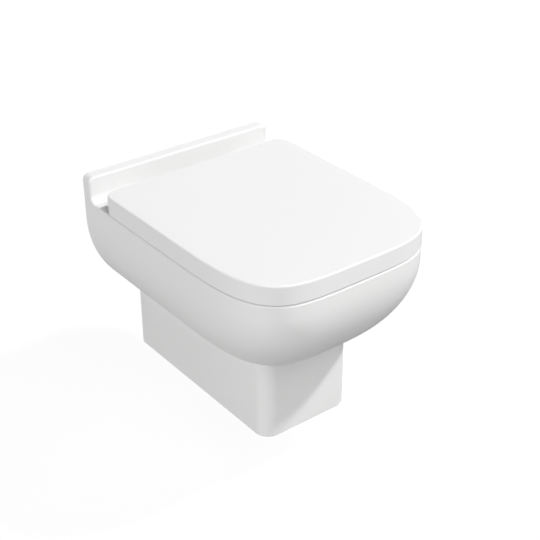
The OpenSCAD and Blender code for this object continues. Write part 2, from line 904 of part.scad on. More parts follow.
// Soft buffers under the seat
module seat_buffers() {
    color(grey)
    for (s = [-1, 1])
        for (q = buffer_spots)
            translate([s * q[0], -q[1], rim_z])
                pad(seat_buffer_h, buffer_w, buffer_l);
}

// Barrel of a damper, which turns with its lug and brakes on its shaft
module damper(side) {
    color(black)
    difference() {
        lug_bore(side, damper_x + damper_cap, damper_len - damper_cap, damper_r - damper_gap);
        lug_bore(side, damper_x + damper_len - damper_in, damper_in + 1, pin_d / 2 + run_fit);
    }
}

module seat_damper() {
    damper(-1);
}

module lid_damper() {
    damper(1);
}

// Plastic bush of a plain lug
module plain_bush(side) {
    color(black)
    difference() {
        lug_bore(side, plain_x, plain_lug_w, pin_d / 2 + bush_wall);
        lug_bore(side, plain_x - 1, plain_lug_w + 2, pin_d / 2 + run_fit);
    }
}

module seat_bush() {
    plain_bush(1);
}

module lid_bush() {
    plain_bush(-1);
}

// Section of the lid: full plan with round back corners
function lid_ring(z, margin) =
    let (w = half_w + lid_over - margin, d = pan_d - margin, b = lid_back + margin,
        r = max(3, lid_corner_r - margin))
    concat(
        [for (a = [0 : 15 : 90]) [-w + r - r * sin(a), -b - r + r * cos(a), z]],
        [for (i = [0 : plan_steps / 2]) let (t = 180 * i / plan_steps)
            [-w * pow(cos(t), 2 / side_power), -full_y - (d - full_y) * pow(sin(t), 2 / front_power), z]],
        [for (i = [plan_steps / 2 - 1 : -1 : 0]) let (t = 180 * i / plan_steps)
            [w * pow(cos(t), 2 / side_power), -full_y - (d - full_y) * pow(sin(t), 2 / front_power), z]],
        [for (a = [90 : -15 : 0]) [w - r + r * sin(a), -b - r + r * cos(a), z]]);

// Lid: flat top with a skirt that wraps the seat, a damped lug on the right and a plain one on the left
module lid_shell() {
    r = lid_edge_r;
    inner_z = lid_z - lid_top_t;
    edge = [for (a = [0, 22.5, 45, 67.5, 90]) lid_ring(lid_z - r * (1 - sin(a)), r * (1 - cos(a)))];
    color(white)
    difference() {
        union() {
            difference() {
                skin(concat([lid_ring(lid_low_z, lid_bevel), lid_ring(lid_low_z + lid_bevel, 0)], edge));
                skin([lid_ring(lid_low_z - 1, lid_skirt_t), lid_ring(inner_z - lid_inner_r, lid_skirt_t),
                    lid_ring(inner_z, lid_skirt_t + lid_inner_r)]);
                back_sweep();
            }
            lid_lug(1, damper_x, damper_len);
            lid_lug(-1, plain_x, plain_lug_w);
        }
        lug_bore(1, damper_x + damper_cap, damper_len, damper_r);
        lug_bore(-1, plain_x - 1, plain_lug_w + 2, pin_d / 2 + bush_wall);
    }
}

// What the lid gives up at the back so that it clears the ledge and the hinges as it turns
module back_sweep() {
    difference() {
        translate([-half_w - 5, axis_y, rim_z])
            cube([pan_w + 10, sweep_d, hinge_rise]);
        translate([-half_w - 6, axis_y, axis_z])
            rotate([0, 90, 0])
                cylinder(h = pan_w + 12, r = lid_heel_r);
    }
    translate([-hinge_zone, axis_y, rim_z])
        cube([2 * hinge_zone, sweep_d, lid_top - lid_top_t]);
}

// Lug on one side of the lid, carried by a block under its top
module lid_lug(side, x, w) {
    x0 = side > 0 ? x : -x - w;
    translate([x0, axis_y, axis_z])
        rotate([0, 90, 0])
            cylinder(h = w, r = lug_r);
    translate([x0, axis_y - lug_r + 3, axis_z + 4])
        cube([w, 2 * lug_r - 6, lid_z - 1 - axis_z - 4]);
}

// Soft buffers inside the lid, resting on the seat
module lid_buffers() {
    color(grey)
    for (s = [-1, 1])
        for (q = buffer_spots)
            translate([s * q[0], -q[1], seat_z])
                pad(lid_z - lid_top_t - seat_z, buffer_w - 2, buffer_l - 8);
}

pan_shell();
pan_back();
pan_basin();
pan_basin_back();
pan_basin_low();
pan_trapway();
pan_inlet();
pan_pedestal();
stud_sleeves();
hinge_gaskets();
hinge_discs();
hinge_posts();
fixing_screws();
expansion_bushes();
fixing_nuts();
housing_left();
housing_right();
pivot_pins();
damper_shafts();
spring_left();
spring_right();
button_left();
button_right();
seat_ring();
seat_buffers();
seat_damper();
seat_bush();
lid_shell();
lid_buffers();
lid_damper();
lid_bush();
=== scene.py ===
"""Wall hung toilet with its seat, lid and lift-off hinges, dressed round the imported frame."""

import json
import logging
import math
from dataclasses import dataclass
from enum import Enum

import bmesh
import bpy
import numpy as np
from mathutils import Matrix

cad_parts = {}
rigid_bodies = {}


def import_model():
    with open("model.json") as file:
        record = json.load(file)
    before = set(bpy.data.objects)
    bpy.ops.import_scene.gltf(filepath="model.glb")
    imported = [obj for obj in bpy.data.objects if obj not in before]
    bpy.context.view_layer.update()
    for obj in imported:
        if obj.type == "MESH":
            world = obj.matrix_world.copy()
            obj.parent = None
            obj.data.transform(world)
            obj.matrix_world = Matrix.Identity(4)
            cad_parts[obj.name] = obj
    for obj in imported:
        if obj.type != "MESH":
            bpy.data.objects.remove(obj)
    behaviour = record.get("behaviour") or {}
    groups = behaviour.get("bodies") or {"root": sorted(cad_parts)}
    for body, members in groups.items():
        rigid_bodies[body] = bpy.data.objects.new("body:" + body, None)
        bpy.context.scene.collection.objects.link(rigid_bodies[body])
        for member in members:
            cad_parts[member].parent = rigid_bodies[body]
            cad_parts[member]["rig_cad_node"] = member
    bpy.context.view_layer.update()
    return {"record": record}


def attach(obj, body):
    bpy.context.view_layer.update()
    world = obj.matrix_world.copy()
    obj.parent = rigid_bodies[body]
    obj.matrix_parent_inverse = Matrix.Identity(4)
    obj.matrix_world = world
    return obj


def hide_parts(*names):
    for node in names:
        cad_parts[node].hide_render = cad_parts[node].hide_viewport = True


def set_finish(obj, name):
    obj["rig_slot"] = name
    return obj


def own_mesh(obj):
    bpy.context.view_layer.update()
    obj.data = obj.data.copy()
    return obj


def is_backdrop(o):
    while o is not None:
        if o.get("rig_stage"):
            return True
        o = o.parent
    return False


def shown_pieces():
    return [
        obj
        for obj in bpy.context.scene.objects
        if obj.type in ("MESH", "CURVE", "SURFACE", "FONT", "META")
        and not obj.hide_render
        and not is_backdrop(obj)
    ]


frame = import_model()

MM = 0.001  # one millimetre in metres; sizes are in millimetres unless they say otherwise
WELD = 1e-6  # points nearer than this are one, in metres
SLIVER = 1e-7  # edges shorter than this are removed, in metres
PAST = 1.0  # how far a form reaches past what it cuts or joins
NUDGE = 1e-9  # settles on which side a point of the middle line lies
ROUND_SIDES = 72
CRISP_ANGLE = 28.0  # edges sharper than this stay crisp, in degrees
FLAT_WEIGHT = 60  # how firmly flat faces keep the shading flat
WHITE = (1.0, 1.0, 1.0, 1.0)
log = logging.getLogger("toilet")

Ring = np.ndarray
Piece = bpy.types.Object
Tree = bpy.types.NodeTree
Node = bpy.types.Node
Socket = bpy.types.NodeSocket
Pairs = tuple[tuple[float, float], ...]
Point = tuple[float, float, float]
Colour = tuple[float, float, float]


class Joinery(Enum):
    """How one form works on another."""

    ADD = "UNION"
    CUT = "DIFFERENCE"


class Axis(Enum):
    """Direction of a round bar, as the numbers of its two cross axes and its own."""

    X = (1, 2, 0)
    Y = (0, 2, 1)
    Z = (0, 1, 2)


class Side(Enum):
    """Side of the hinge, with its sign along X."""

    LEFT = -1
    RIGHT = 1


def show(name: str, data: bpy.types.ID) -> Piece:
    """Puts a mesh, a lamp or a camera in the scene.

    Args:
        name: name of its object.
        data: the mesh, lamp or camera.

    Returns:
        The object.
    """
    made = bpy.data.objects.new(name, data)
    bpy.context.scene.collection.objects.link(made)
    return made


class Shape:
    """A closed form while it is being made, in millimetres."""

    def __init__(self) -> None:
        """Starts with nothing."""
        self.points: list[np.ndarray] = []
        self.faces: list[list[int]] = []
        self.count = 0

    def add(self, points: np.ndarray) -> np.ndarray:
        """Adds points and gives their numbers.

        Args:
            points: array whose last axis is x, y, z.

        Returns:
            Array of point numbers, shaped as the points are.
        """
        flat = np.asarray(points, float).reshape(-1, 3)
        numbers = np.arange(self.count, self.count + len(flat))
        self.points.append(flat)
        self.count += len(flat)
        return numbers.reshape(np.asarray(points).shape[:-1])

    def grid(self, rows: np.ndarray, wrap: bool = False) -> None:
        """Adds a patch of four-sided faces.

        Args:
            rows: array of rows by columns by 3.
            wrap: True if the last column joins the first.
        """
        numbers = self.add(rows)
        if wrap:
            numbers = np.concatenate([numbers, numbers[:, :1]], axis=1)
        low, high = numbers[:-1], numbers[1:]
        quads = np.stack([low[:, :-1], low[:, 1:], high[:, 1:], high[:, :-1]], axis=-1)
        self.faces.extend(quads.reshape(-1, 4).tolist())

    def face(self, ring: np.ndarray) -> None:
        """Adds one flat face from a loop of points."""
        self.faces.append(self.add(ring).tolist())

    def piece(self, name: str) -> Piece:
        """Turns the form into a Blender object in metres, welded and facing outwards.

        Args:
            name: name of the piece.

        Returns:
            The object, linked to the scene.
        """
        mesh = bpy.data.meshes.new(name)
        mesh.from_pydata((np.concatenate(self.points) * MM).tolist(), [], self.faces)
        work = bmesh.new()
        work.from_mesh(mesh)
        bmesh.ops.remove_doubles(work, verts=work.verts, dist=WELD)
        bmesh.ops.dissolve_degenerate(work, edges=work.edges, dist=SLIVER)
        bmesh.ops.recalc_face_normals(work, faces=work.faces)
        open_edges = sum(not e.is_manifold for e in work.edges)
        if open_edges:
            log.warning("%s has %d open edges", name, open_edges)
        work.to_mesh(mesh)
        work.free()
        return show(name, mesh)


def stack(rings: list[Ring], name: str) -> Piece:
    """Closed form from rings with the same number of points, capped at both ends.

    Args:
        rings: the rings, from one end to the other.
        name: name of the form.

    Returns:
        The form as an object.
    """
    form = Shape()
    form.grid(np.array(rings), wrap=True)
    form.face(rings[0])
    form.face(rings[-1])
    return form.piece(name)


def circle(sides: int = ROUND_SIDES) -> np.ndarray:
    """Angles in radians of the corners round a full turn."""
    return np.linspace(0, 2 * math.pi, sides, endpoint=False)


def rod(centre: Point, axis: Axis, radius: float, length: float) -> Piece:
    """Round bar with one end at a point.

    Args:
        centre: middle of its first end.
        axis: its direction.
        radius: its radius.
        length: its length, negative to run the other way.

    Returns:
        The bar as an object.
    """
    a, b, along = axis.value
    turn = circle()
    rings = []
    for step in (0.0, length):
        ring = np.tile(np.array(centre, float), (len(turn), 1))
        ring[:, a] += radius * np.cos(turn)
        ring[:, b] += radius * np.sin(turn)
        ring[:, along] += step
        rings.append(ring)
    return stack(rings, "rod")


def block(low: Point, high: Point) -> Piece:
    """Square block.

    Args:
        low: its corner with the lowest numbers.
        high: its corner with the highest numbers.

    Returns:
        The block as an object.
    """
    x, y = (low[0], high[0]), (low[1], high[1])
    plan = np.array([[x[0], y[0]], [x[1], y[0]], [x[1], y[1]], [x[0], y[1]]])
    return stack([level(plan, z) for z in (low[2], high[2])], "block")


def work_on(piece: Piece, how: Joinery, *tools: Piece) -> Piece:
    """Joins forms to a piece or cuts them out, one after the other, and removes the forms.

    Args:
        piece: the object to change.
        how: whether the forms are joined or cut out.
        tools: the other forms.

    Returns:
        The piece with its new mesh.
    """
    for tool in tools:
        step = piece.modifiers.new("step", "BOOLEAN")
        step.operation = how.value
        step.solver = "MANIFOLD"
        step.object = tool
        depsgraph = bpy.context.evaluated_depsgraph_get()
        made = bpy.data.meshes.new_from_object(piece.evaluated_get(depsgraph))
        before = piece.data
        piece.modifiers.clear()
        piece.data = made
        made.name = piece.name
        bpy.data.meshes.remove(before)
        bpy.data.objects.remove(tool)
    return piece


def smooth_surface(piece: Piece, angle: float = CRISP_ANGLE) -> None:
    """Shades a piece smoothly except over sharp edges, with its flats kept flat.

    Args:
        piece: the object.
        angle: edges sharper than this stay crisp, in degrees.
    """
    mesh = piece.data
    mesh.shade_smooth()
    mesh.set_sharp_from_angle(angle=math.radians(angle))
    even = piece.modifiers.new("flats stay flat", "WEIGHTED_NORMAL")
    even.mode = "FACE_AREA"
    even.keep_sharp = True
    even.weight = FLAT_WEIGHT


def easing(shares: np.ndarray, table: np.ndarray, at: np.ndarray) -> np.ndarray:
    """Smooth curve through a table without overshoot.

    Args:
        shares: rising places of the table's rows.
        table: the rows.
        at: places to read.

    Returns:
        One row for each place.
    """
    step = np.diff(shares)
    slope = np.diff(table, axis=0) / step[:, None]
    tangent = np.zeros_like(table)
    same = slope[:-1] * slope[1:] > 0
    w1 = (2 * step[1:] + step[:-1])[:, None]
    w2 = (step[1:] + 2 * step[:-1])[:, None]
    with np.errstate(divide="ignore", invalid="ignore"):
        mean = (w1 + w2) / (w1 / slope[:-1] + w2 / slope[1:])
    tangent[1:-1] = np.where(same, mean, 0)
    tangent[0], tangent[-1] = slope[0], slope[-1]
    k = np.clip(np.searchsorted(shares, at, side="right") - 1, 0, len(shares) - 2)
    h = step[k][:, None]
    u = (at - shares[k])[:, None] / h
    return ((2 * u**3 - 3 * u**2 + 1) * table[k] + (u**3 - 2 * u**2 + u) * h * tangent[k]
            + (3 * u**2 - 2 * u**3) * table[k + 1] + (u**3 - u**2) * h * tangent[k + 1])


def arc(start: float, end: float, steps: int) -> np.ndarray:
    """Angles in radians from one to another, both in degrees, ends included."""
    return np.radians(np.linspace(start, end, steps + 1))


def rounding(radius: float, steps: int, end: float = 90.0) -> list[tuple[float, float]]:
    """Steps of a rounded edge: how far each lies in from the second face and from the first."""
    return [(radius * (1 - math.sin(a)), radius * (1 - math.cos(a))) for a in arc(0, end, steps)]


def columns(*parts: np.ndarray | float) -> np.ndarray:
    """Table of points from one array or one number for each column."""
    return np.stack(np.broadcast_arrays(*parts), axis=-1)


def level(plan: np.ndarray, z: float) -> Ring:
    """Plan points brought to one height."""
    return columns(*plan.T, z)


def with_sides(left: np.ndarray, front: np.ndarray) -> np.ndarray:
    """Plan of a front with a left side before it and the side's mirror image behind it."""
    return np.concatenate([left, front, left[::-1] * (-1, 1)])


def oval(front: float, back: float, half: float, power: float, z: float, grow: float = 0.0,
         count: int = 120) -> Ring:
    """Squarish oval ring round the bowl or the hole of the seat.

    Args:
        front: distance of its front from the wall.
        back: distance of its back from the wall.
        half: half its width.
        power: its squareness, 2 for an ellipse.
        z: its height.
        grow: how far it is let out all round.
        count: number of points.

    Returns:
        The ring.
    """
    turn = np.radians((np.arange(count) + 0.5) * 360 / count)
    c, s = np.cos(turn), np.sin(turn)
    reach = (front - back) / 2 + grow
    x = -(half + grow) * np.sign(c) * np.abs(c) ** (2 / power)
    y = -(front + back) / 2 - reach * np.sign(s) * np.abs(s) ** (2 / power)
    return columns(x, y, z)


@dataclass(frozen=True)
class Outline:
    """Plan of the rim, the lid and the seat: straight sides, full front, tight corners."""

    width: float = 361.0
    depth: float = 479.0
    straight: float = 205.0
    side_power: float = 4.31
    front_power: float = 4.91
    steps: int = 56

    def front(self, half: float, depth: float, side: float, front: float,
              straight: float) -> np.ndarray:
        """Front of a ring from its left side round to its right side.

        Args:
            half: half width.
            depth: distance of the front from the wall.
            side: squareness along the sides.
            front: squareness along the front.
            straight: distance from the wall at which the sides start to turn.

        Returns:
            Points in plan.
        """
        t = arc(0, 90, self.steps)
        x = -half * np.clip(np.cos(t), 0, 1) ** (2 / side)
        x[-1] = 0
        y = -straight - (depth - straight) * np.sin(t) ** (2 / front)
        left = columns(x, y)
        right = left[-2::-1] * (-1, 1)
        return np.concatenate([left, right])

    def loop(self, half: float, depth: float, back: float, corner: float, steps: int) -> np.ndarray:
        """Plan of the seat or the lid all the way round.

        Args:
            half: half width.
            depth: distance of the front from the wall.
            back: distance of the back from the wall.
            corner: radius of the back corners.
            steps: steps round each of them.

        Returns:
            Points in plan from the back left corner round the front.
        """
        turn = arc(0, 90, steps)
        left = columns(-half + corner - corner * np.sin(turn),
                       -back - corner + corner * np.cos(turn))
        front = self.front(half, depth, self.side_power, self.front_power, self.straight)
        return with_sides(left, front)


@dataclass
class PanCasting:
    """The ceramic pan: bowl, rim, ledge, upstand, foot, basin, trapway and flush inlet."""

    outline: Outline = Outline()
    rim_z: float = 80.0
    rim_edge: float = 3.0
    wall: float = 11.0
    deck: float = 12.0
    flank_drop: float = 33.0
    flank_r: float = 182.0
    flank_lean: float = 42.0
    nose_drop: float = 20.0
    nose_r: float = 165.0
    nose_lean: float = 50.0
    nose_least: float = 60.0
    low_power: float = 2.5
    low_z: float = -125.0
    power_rate: float = 0.7
    body_low: float = -150.0
    upstand_top: float = 124.0
    upstand_t: float = 20.5
    upstand_corner: float = 9.0
    upstand_edge: float = 3.5
    upstand_foot: float = 13.0
    foot_low: float = -241.0
    foot_w: float = 176.0
    foot_d: float = 363.5
    foot_r: float = 26.0
    foot_least_r: float = 2.0
    foot_edge: float = 3.0
    foot_lap: float = 20.0
    flange_t: float = 16.0
    flange_low: float = -38.0
    bowl_front: float = 430.0
    bowl_back: float = 125.0
    bowl_half: float = 128.0
    bowl_edge: float = 8.0
    bowl_edge_end: float = 84.0
    bowl_power: float = 2.75
    lip: float = 4.0
    lip_drop: float = 0.6
    lip_steps: Pairs = ((0.4, 1.6), (1.2, 0.0))
    basin_t: float = 8.0
    basin_low: float = -150.0
    trap_y: float = 240.0
    trap_bore: float = 54.0
    trap_mouth: float = 8.0
    trap_crest: float = -72.0
    trap_widens: float = 0.6
    trap_step: float = 0.6
    inlet_z: float = 35.0
    inlet_bore: float = 55.0
    inlet_wall: float = 5.0
    inlet_depth: float = 40.0
    duct_wall: float = 7.0
    duct_ease: float = 4.0
    duct_reach: float = 14.0
    slot_drop: float = 24.0
    slot_half: float = 22.0
    slot_r: float = 10.0
    slot_turn: float = 3.0
    outlet_z: float = -100.0
    outlet_r: float = 51.0
    outlet_len: float = 40.0
    outlet_wall: float = 9.0
    outlet_gap: float = 4.0
    stud_pitch: float = 180.0
    stud_r: float = 22.0
    stud_len: float = 35.0
    stud_bore_r: float = 10.5
    stud_bore_len: float = 60.0
    seat_pitch: float = 155.0
    seat_y: float = -73.0
    seat_hole_r: float = 7.5
    back_columns: int = 4
    side_columns: int = 10
    across: int = 24
    low_rows: int = 8
    flank_rows: int = 22
    high_rows: int = 5
    round_steps: int = 7
    cove_steps: int = 10
    climb_steps: int = 3
    foot_steps: int = 14
    foot_edge_steps: int = 6
    bowl_rings: int = 44
    bowl_edge_steps: int = 9
    basin_rows: int = 36
    trap_rows: int = 5
    trap_sides: int = 48

    def turned_in(self, depth: float, radius: float, lean: float) -> float:
        """How far a wall that turns in has come in.

        Args:
            depth: depth below the turn's start.
            radius: radius of the turn.
            lean: slope at which it goes on straight, in degrees.

        Returns:
            The distance.
        """
        lean = math.radians(lean)
        if depth <= 0:
            return 0.0
        if depth < radius * math.sin(lean):
            return radius - math.sqrt(radius**2 - depth**2)
        return radius * (1 - math.cos(lean)) + (depth - radius * math.sin(lean)) * math.tan(lean)

    def half_at(self, z: float) -> float:
        """Half width of the bowl's outside at a height."""
        start = self.rim_z - self.flank_drop
        return self.outline.width / 2 - self.turned_in(start - z, self.flank_r, self.flank_lean)

    def nose_at(self, z: float) -> float:
        """Depth of the bowl's outside at a height."""
        start = self.rim_z - self.nose_drop
        return self.outline.depth - self.turned_in(start - z, self.nose_r, self.nose_lean)

    def ring(self, z: float, margin: float, back: float) -> Ring:
        """Section of the bowl's outside, open at the back.

        Args:
            z: height.
            margin: how far it is set in.
            back: distance of its two ends from the wall.

        Returns:
            Points from the back left corner round the front to the back right corner.
        """
        start = self.rim_z - self.flank_drop
        full = min(1.0, max(0.0, (z - self.low_z) / (start - self.low_z))) ** self.power_rate
        side = self.low_power + (self.outline.side_power - self.low_power) * full
        front = self.low_power + (self.outline.front_power - self.low_power) * full
        straight = min(self.outline.straight, self.nose_at(z) - margin - self.nose_least)
        half = self.half_at(z) - margin
        hidden = self.upstand_t + self.upstand_foot
        y = np.concatenate([-np.linspace(back, hidden, self.back_columns + 1),
                            -np.linspace(hidden, straight, self.side_columns + 1)[1:-1]])
        left = columns(-half, y)
        plan = self.outline.front(half, self.nose_at(z) - margin, side, front, straight)
        return level(with_sides(left, plan), z)

    def heights(self) -> np.ndarray:
        """Heights of the sections from the bottom up to the start of the rim's edge.

        Returns:
            The heights: straight below the sweep, along it, and above it.
        """
        turn = self.rim_z - self.flank_drop
        sweep = turn - self.flank_r * np.sin(arc(self.flank_lean, 0, self.flank_rows))
        low = np.linspace(self.body_low, sweep[0], self.low_rows + 1)[:-1]
        high = np.linspace(turn, self.rim_z - self.rim_edge, self.high_rows + 1)[1:]
        return np.concatenate([low, sweep, high])

    def edge_path(self) -> tuple[np.ndarray, np.ndarray, np.ndarray, np.ndarray]:
        """The long edge round the rim and over the upstand.

        Returns:
            Corner points, directions out of the side, directions out of the top, and radii.
        """
        rim = self.ring(self.rim_z, 0, 0)[self.back_columns:-self.back_columns]
        along = np.gradient(rim[:, :2], axis=0)
        along[0], along[-1] = (0, -1), (0, 1)
        along /= np.linalg.norm(along, axis=1)[:, None]
        front = columns(*rim.T, along[:, 1], -along[:, 0], 0, 0, 0, 1, self.rim_edge)
        half, wall, cove = self.outline.width / 2, -self.upstand_t, self.upstand_foot
        r, edge = self.upstand_corner, self.upstand_edge
        corner_x, corner_z = half - r, self.upstand_top - r
        angles = arc(0, 90, self.cove_steps)[1:]
        bend = list(zip(angles, np.cos(angles), np.sin(angles)))
        rise = np.linspace(self.rim_z + cove, corner_z, self.climb_steps + 1)[1:]
        side = [(half, wall - cove * (1 - s), self.rim_z + cove * (1 - c), 1, 0, 0, 0, -s, c,
                 self.rim_edge + (edge - self.rim_edge) * a / angles[-1]) for a, c, s in bend]
        side += [(half, wall, z, 1, 0, 0, 0, -1, 0, edge) for z in rise]
        side += [(corner_x + r * c, wall, corner_z + r * s, c, 0, s, 0, -1, 0, edge)
                 for _, c, s in bend]
        top = [(corner_x * u, wall, self.upstand_top, 0, 0, 1, 0, -1, 0, edge)
               for u in np.linspace(1, -1, self.across + 1)[1:-1]]
        mirror = (-1, 1, 1, -1, 1, 1, -1, 1, 1, 1)
        path = np.concatenate([front, side, top, np.array(side[::-1]) * mirror])
        return path[:, :3], path[:, 3:6], path[:, 6:9], path[:, 9]

    def outside(self) -> Piece:
        """Bowl, rim, ledge and upstand with a rounded edge all the way round.

        Returns:
            One closed form.
        """
        form = Shape()
        m = self.back_columns
        flank = np.array([self.ring(z, 0, 0) for z in self.heights()])
        form.grid(flank)
        corner, out, up, radius = self.edge_path()
        base = corner - radius[:, None] * (out + up)
        rows = np.array([base + radius[:, None] * (out * math.cos(a) + up * math.sin(a))
                         for a in arc(0, 90, self.round_steps)])
        form.grid(rows, wrap=True)
        rim_count = flank.shape[1] - 2 * m
        over = np.concatenate([rows[:, rim_count - 1:], rows[:, :1]], axis=1)
        side = over[0]
        shares = 1 - np.arange(m + 1) / m
        band = np.array([side * (1, s, 1) for s in shares])
        form.grid(band)
        inner = over[-1]
        climb = (len(inner) - (self.across - 1)) // 2
        right, left = inner[:climb], inner[::-1][:climb]
        u = np.linspace(-1, 1, self.across + 1)[None, :, None]
        face = left[:, None] * (1 - u) / 2 + right[:, None] * (1 + u) / 2
        form.grid(face)
        form.face(np.concatenate([rows[-1, :rim_count], face[0, -2:0:-1]]))
        form.face(np.concatenate([flank[:, 0], band[-1, ::-1][1:-1], flank[::-1, -1]]))
        form.face(flank[0])
        return form.piece("pan_casting")

    def foot_ring(self, margin: float, z: float, back: float = 0.0) -> Ring:
        """Outline of the foot: square at the wall, round front corners.

        Args:
            margin: how far it is set in.
            z: its height.
            back: distance of its back from the wall.

        Returns:
            The ring.
        """
        w, d = self.foot_w / 2 - margin, self.foot_d - margin
        r = max(self.foot_least_r, self.foot_r - margin)
        a, b = arc(180, 270, self.foot_steps), arc(270, 360, self.foot_steps)
        y = -d + r
        plan = np.concatenate([[(-w, -back)], columns(-w + r + r * np.cos(a), y + r * np.sin(a)),
                               columns(w - r + r * np.cos(b), y + r * np.sin(b)), [(w, -back)]])
        return level(plan, z)

    def foot(self) -> Piece:
        """Foot as a closed form, with a rounded lower edge and its top inside the bowl."""
        edge = [self.foot_ring(margin, self.foot_low + rise)
                for margin, rise in rounding(self.foot_edge, self.foot_edge_steps)]
        return stack(edge + [self.foot_ring(0, self.flange_low - self.foot_lap)], "foot")

    def hollow(self) -> Piece:
        """Room between the bowl's outside and the basin, behind which the flange stays.

        Returns:
            The room as a closed form.
        """
        deck, clear = self.rim_z - self.deck, 5 * PAST
        rings = [self.ring(z, self.wall, -PAST) for z in self.heights() if z < deck]
        rings = [rings[0] - (0, 0, PAST)] + rings + [self.ring(deck, self.wall, -PAST)]
        half = self.outline.width / 2 + clear
        flange = block((-half, -self.flange_t, self.flange_low), (half, clear, deck + clear))
        return work_on(stack(rings, "hollow"), Joinery.CUT, flange)

    def stations(self) -> tuple[np.ndarray, np.ndarray]:
        """Sections of the basin, from the underside of the rim down to its outlet.

        Returns:
            Shares of the basin's depth, and front, back, half width and squareness there.
        """
        f, b, h = self.bowl_front, self.bowl_back, self.bowl_half
        y, r = self.trap_y, self.trap_bore / 2
        o = r + self.trap_mouth
        shares = np.array([0, 0.14, 0.32, 0.5, 0.68, 0.84, 0.95, 1.0])
        table = np.array([
            (f + self.lip, b - self.lip, h + self.lip, 2.7), (f + 2, b + 1, h + 2, 2.65),
            (f - 14, b + 10, h - 5, 2.5), (f - 42, b + 36, h - 20, 2.35),
            (f - 86, b + 68, h - 44, 2.2), (f - 128, b + 80, h - 70, 2.1),
            (y + o + 3, y - o - 1, o + 2, 2.0), (y + r, y - r, r, 2.0)])
        return shares, table

    def basin_rings(self, grow: float, count: int) -> list[Ring]:
        """Rings of the basin from its outlet up to the underside of the rim.

        Args:
            grow: how far they are let out.
            count: number of rings.

        Returns:
            The rings.
        """
        at = np.linspace(1, 0, count)
        deck = self.rim_z - self.deck
        rows = easing(*self.stations(), at)
        return [oval(*row[:4], deck + (self.basin_low - deck) * share, grow)
                for share, row in zip(at, rows)]

    def bowl_inside(self) -> Piece:
        """Room inside the basin, from below its outlet to above the rounded edge of its opening.

        Returns:
            The room as a closed form.
        """
        rings = self.basin_rings(0, self.bowl_rings)
        rings[-1][:, 2] -= self.lip_drop
        args = (self.bowl_front, self.bowl_back, self.bowl_half, self.bowl_power)
        deck, r = self.rim_z - self.deck, self.bowl_edge
        edge = rounding(r, self.bowl_edge_steps, self.bowl_edge_end)[1:]
        rings += [oval(*args, deck + rise, grow) for rise, grow in self.lip_steps]
        rings += [oval(*args, self.rim_z - drop, grow) for drop, grow in edge]
        rings += [oval(*args, self.rim_z + PAST, r + PAST)]
        return stack([rings[0] - (0, 0, PAST)] + rings, "bowl")

    def trap_line(self) -> tuple[np.ndarray, np.ndarray]:
        """Middle line of the trapway, from the basin's outlet over the weir to the waste spigot.

        Returns:
            Points and directions, as distances from the wall and heights.
        """
        y, crest, end, out_z = self.trap_y, self.trap_crest, self.outlet_len, self.outlet_z
        low = self.foot_low + self.wall + self.trap_bore / 2 + self.basin_t + 2 * PAST
        line = np.array([
            (y, self.basin_low + 12), (y, self.basin_low), (y - 5, low + 19), (y - 18, low + 5),
            (y - 39, low), (y - 61, low + 8), (y - 77, low + 30), (y - 91, low + 66),
            (y - 109, crest - 14), (y - 136, crest), (y - 166, crest - 12),
            (end + 12, out_z + 4), (end - 3, out_z), (end - 15, out_z)])
        path = []
        for a, b, c, d in zip(line, line[1:], line[2:], line[3:]):
            for t in np.linspace(0, 1, self.trap_rows + 1)[:-1]:
                path.append(0.5 * (2 * b + (c - a) * t + (2 * a - 5 * b + 4 * c - d) * t * t
                                   + (3 * b - a - 3 * c + d) * t**3))
        path = np.array(path + [line[-2]])
        way = np.gradient(path, axis=0)
        way[0], way[-1] = (0, -1), (-1, 0)
        return path, way / np.linalg.norm(way, axis=1)[:, None]

    def trap_rings(self, thick: bool) -> list[Ring]:
        """Rings along the trapway.

        Args:
            thick: True for its outside, False for its bore.

        Returns:
            The rings.
        """
        path, way = self.trap_line()
        start = self.trap_widens
        u = np.clip((np.linspace(0, 1, len(path)) - start) / (1 - start), 0, 1)
        bore, wide = self.trap_bore / 2, self.outlet_r - self.outlet_wall + PAST
        radius = bore + (wide - bore) * u * u * (3 - 2 * u)
        if thick:
            wall = self.basin_t - self.trap_step
            radius = radius + wall + (self.outlet_wall - 2 * PAST - wall) * u
        turn = circle(self.trap_sides)
        c, s = np.cos(turn), np.sin(turn)
        rings = [columns(r * s, -p[0] + w[1] * r * c, p[1] + w[0] * r * c)
                 for p, w, r in zip(path, way, radius)]
        if not thick:
            rings = [rings[0] + (0, 0, 3 * PAST)] + rings + [rings[-1] + (0, 3 * PAST, 0)]
        return rings

    def duct(self, grow: float, start: tuple[float, float], end: float) -> Piece:
        """Narrowing duct of the flush from the horn to the basin.

        Args:
            grow: thickness added round the slot.
            start: place along Y and radius of its round end.
            end: place along Y of its flat end.

        Returns:
            The duct as a closed form.
        """
        turn = circle()
        c, s, r = np.cos(turn), np.sin(turn), self.slot_r + grow
        slot_z = self.rim_z - self.deck - self.slot_drop
        slot_x = self.slot_half * np.clip(c * self.slot_turn, -1, 1) + r * c
        round_end = columns(start[1] * c, start[0], self.inlet_z + start[1] * s)
        return stack([round_end, columns(slot_x, end, slot_z + r * s)], "duct")

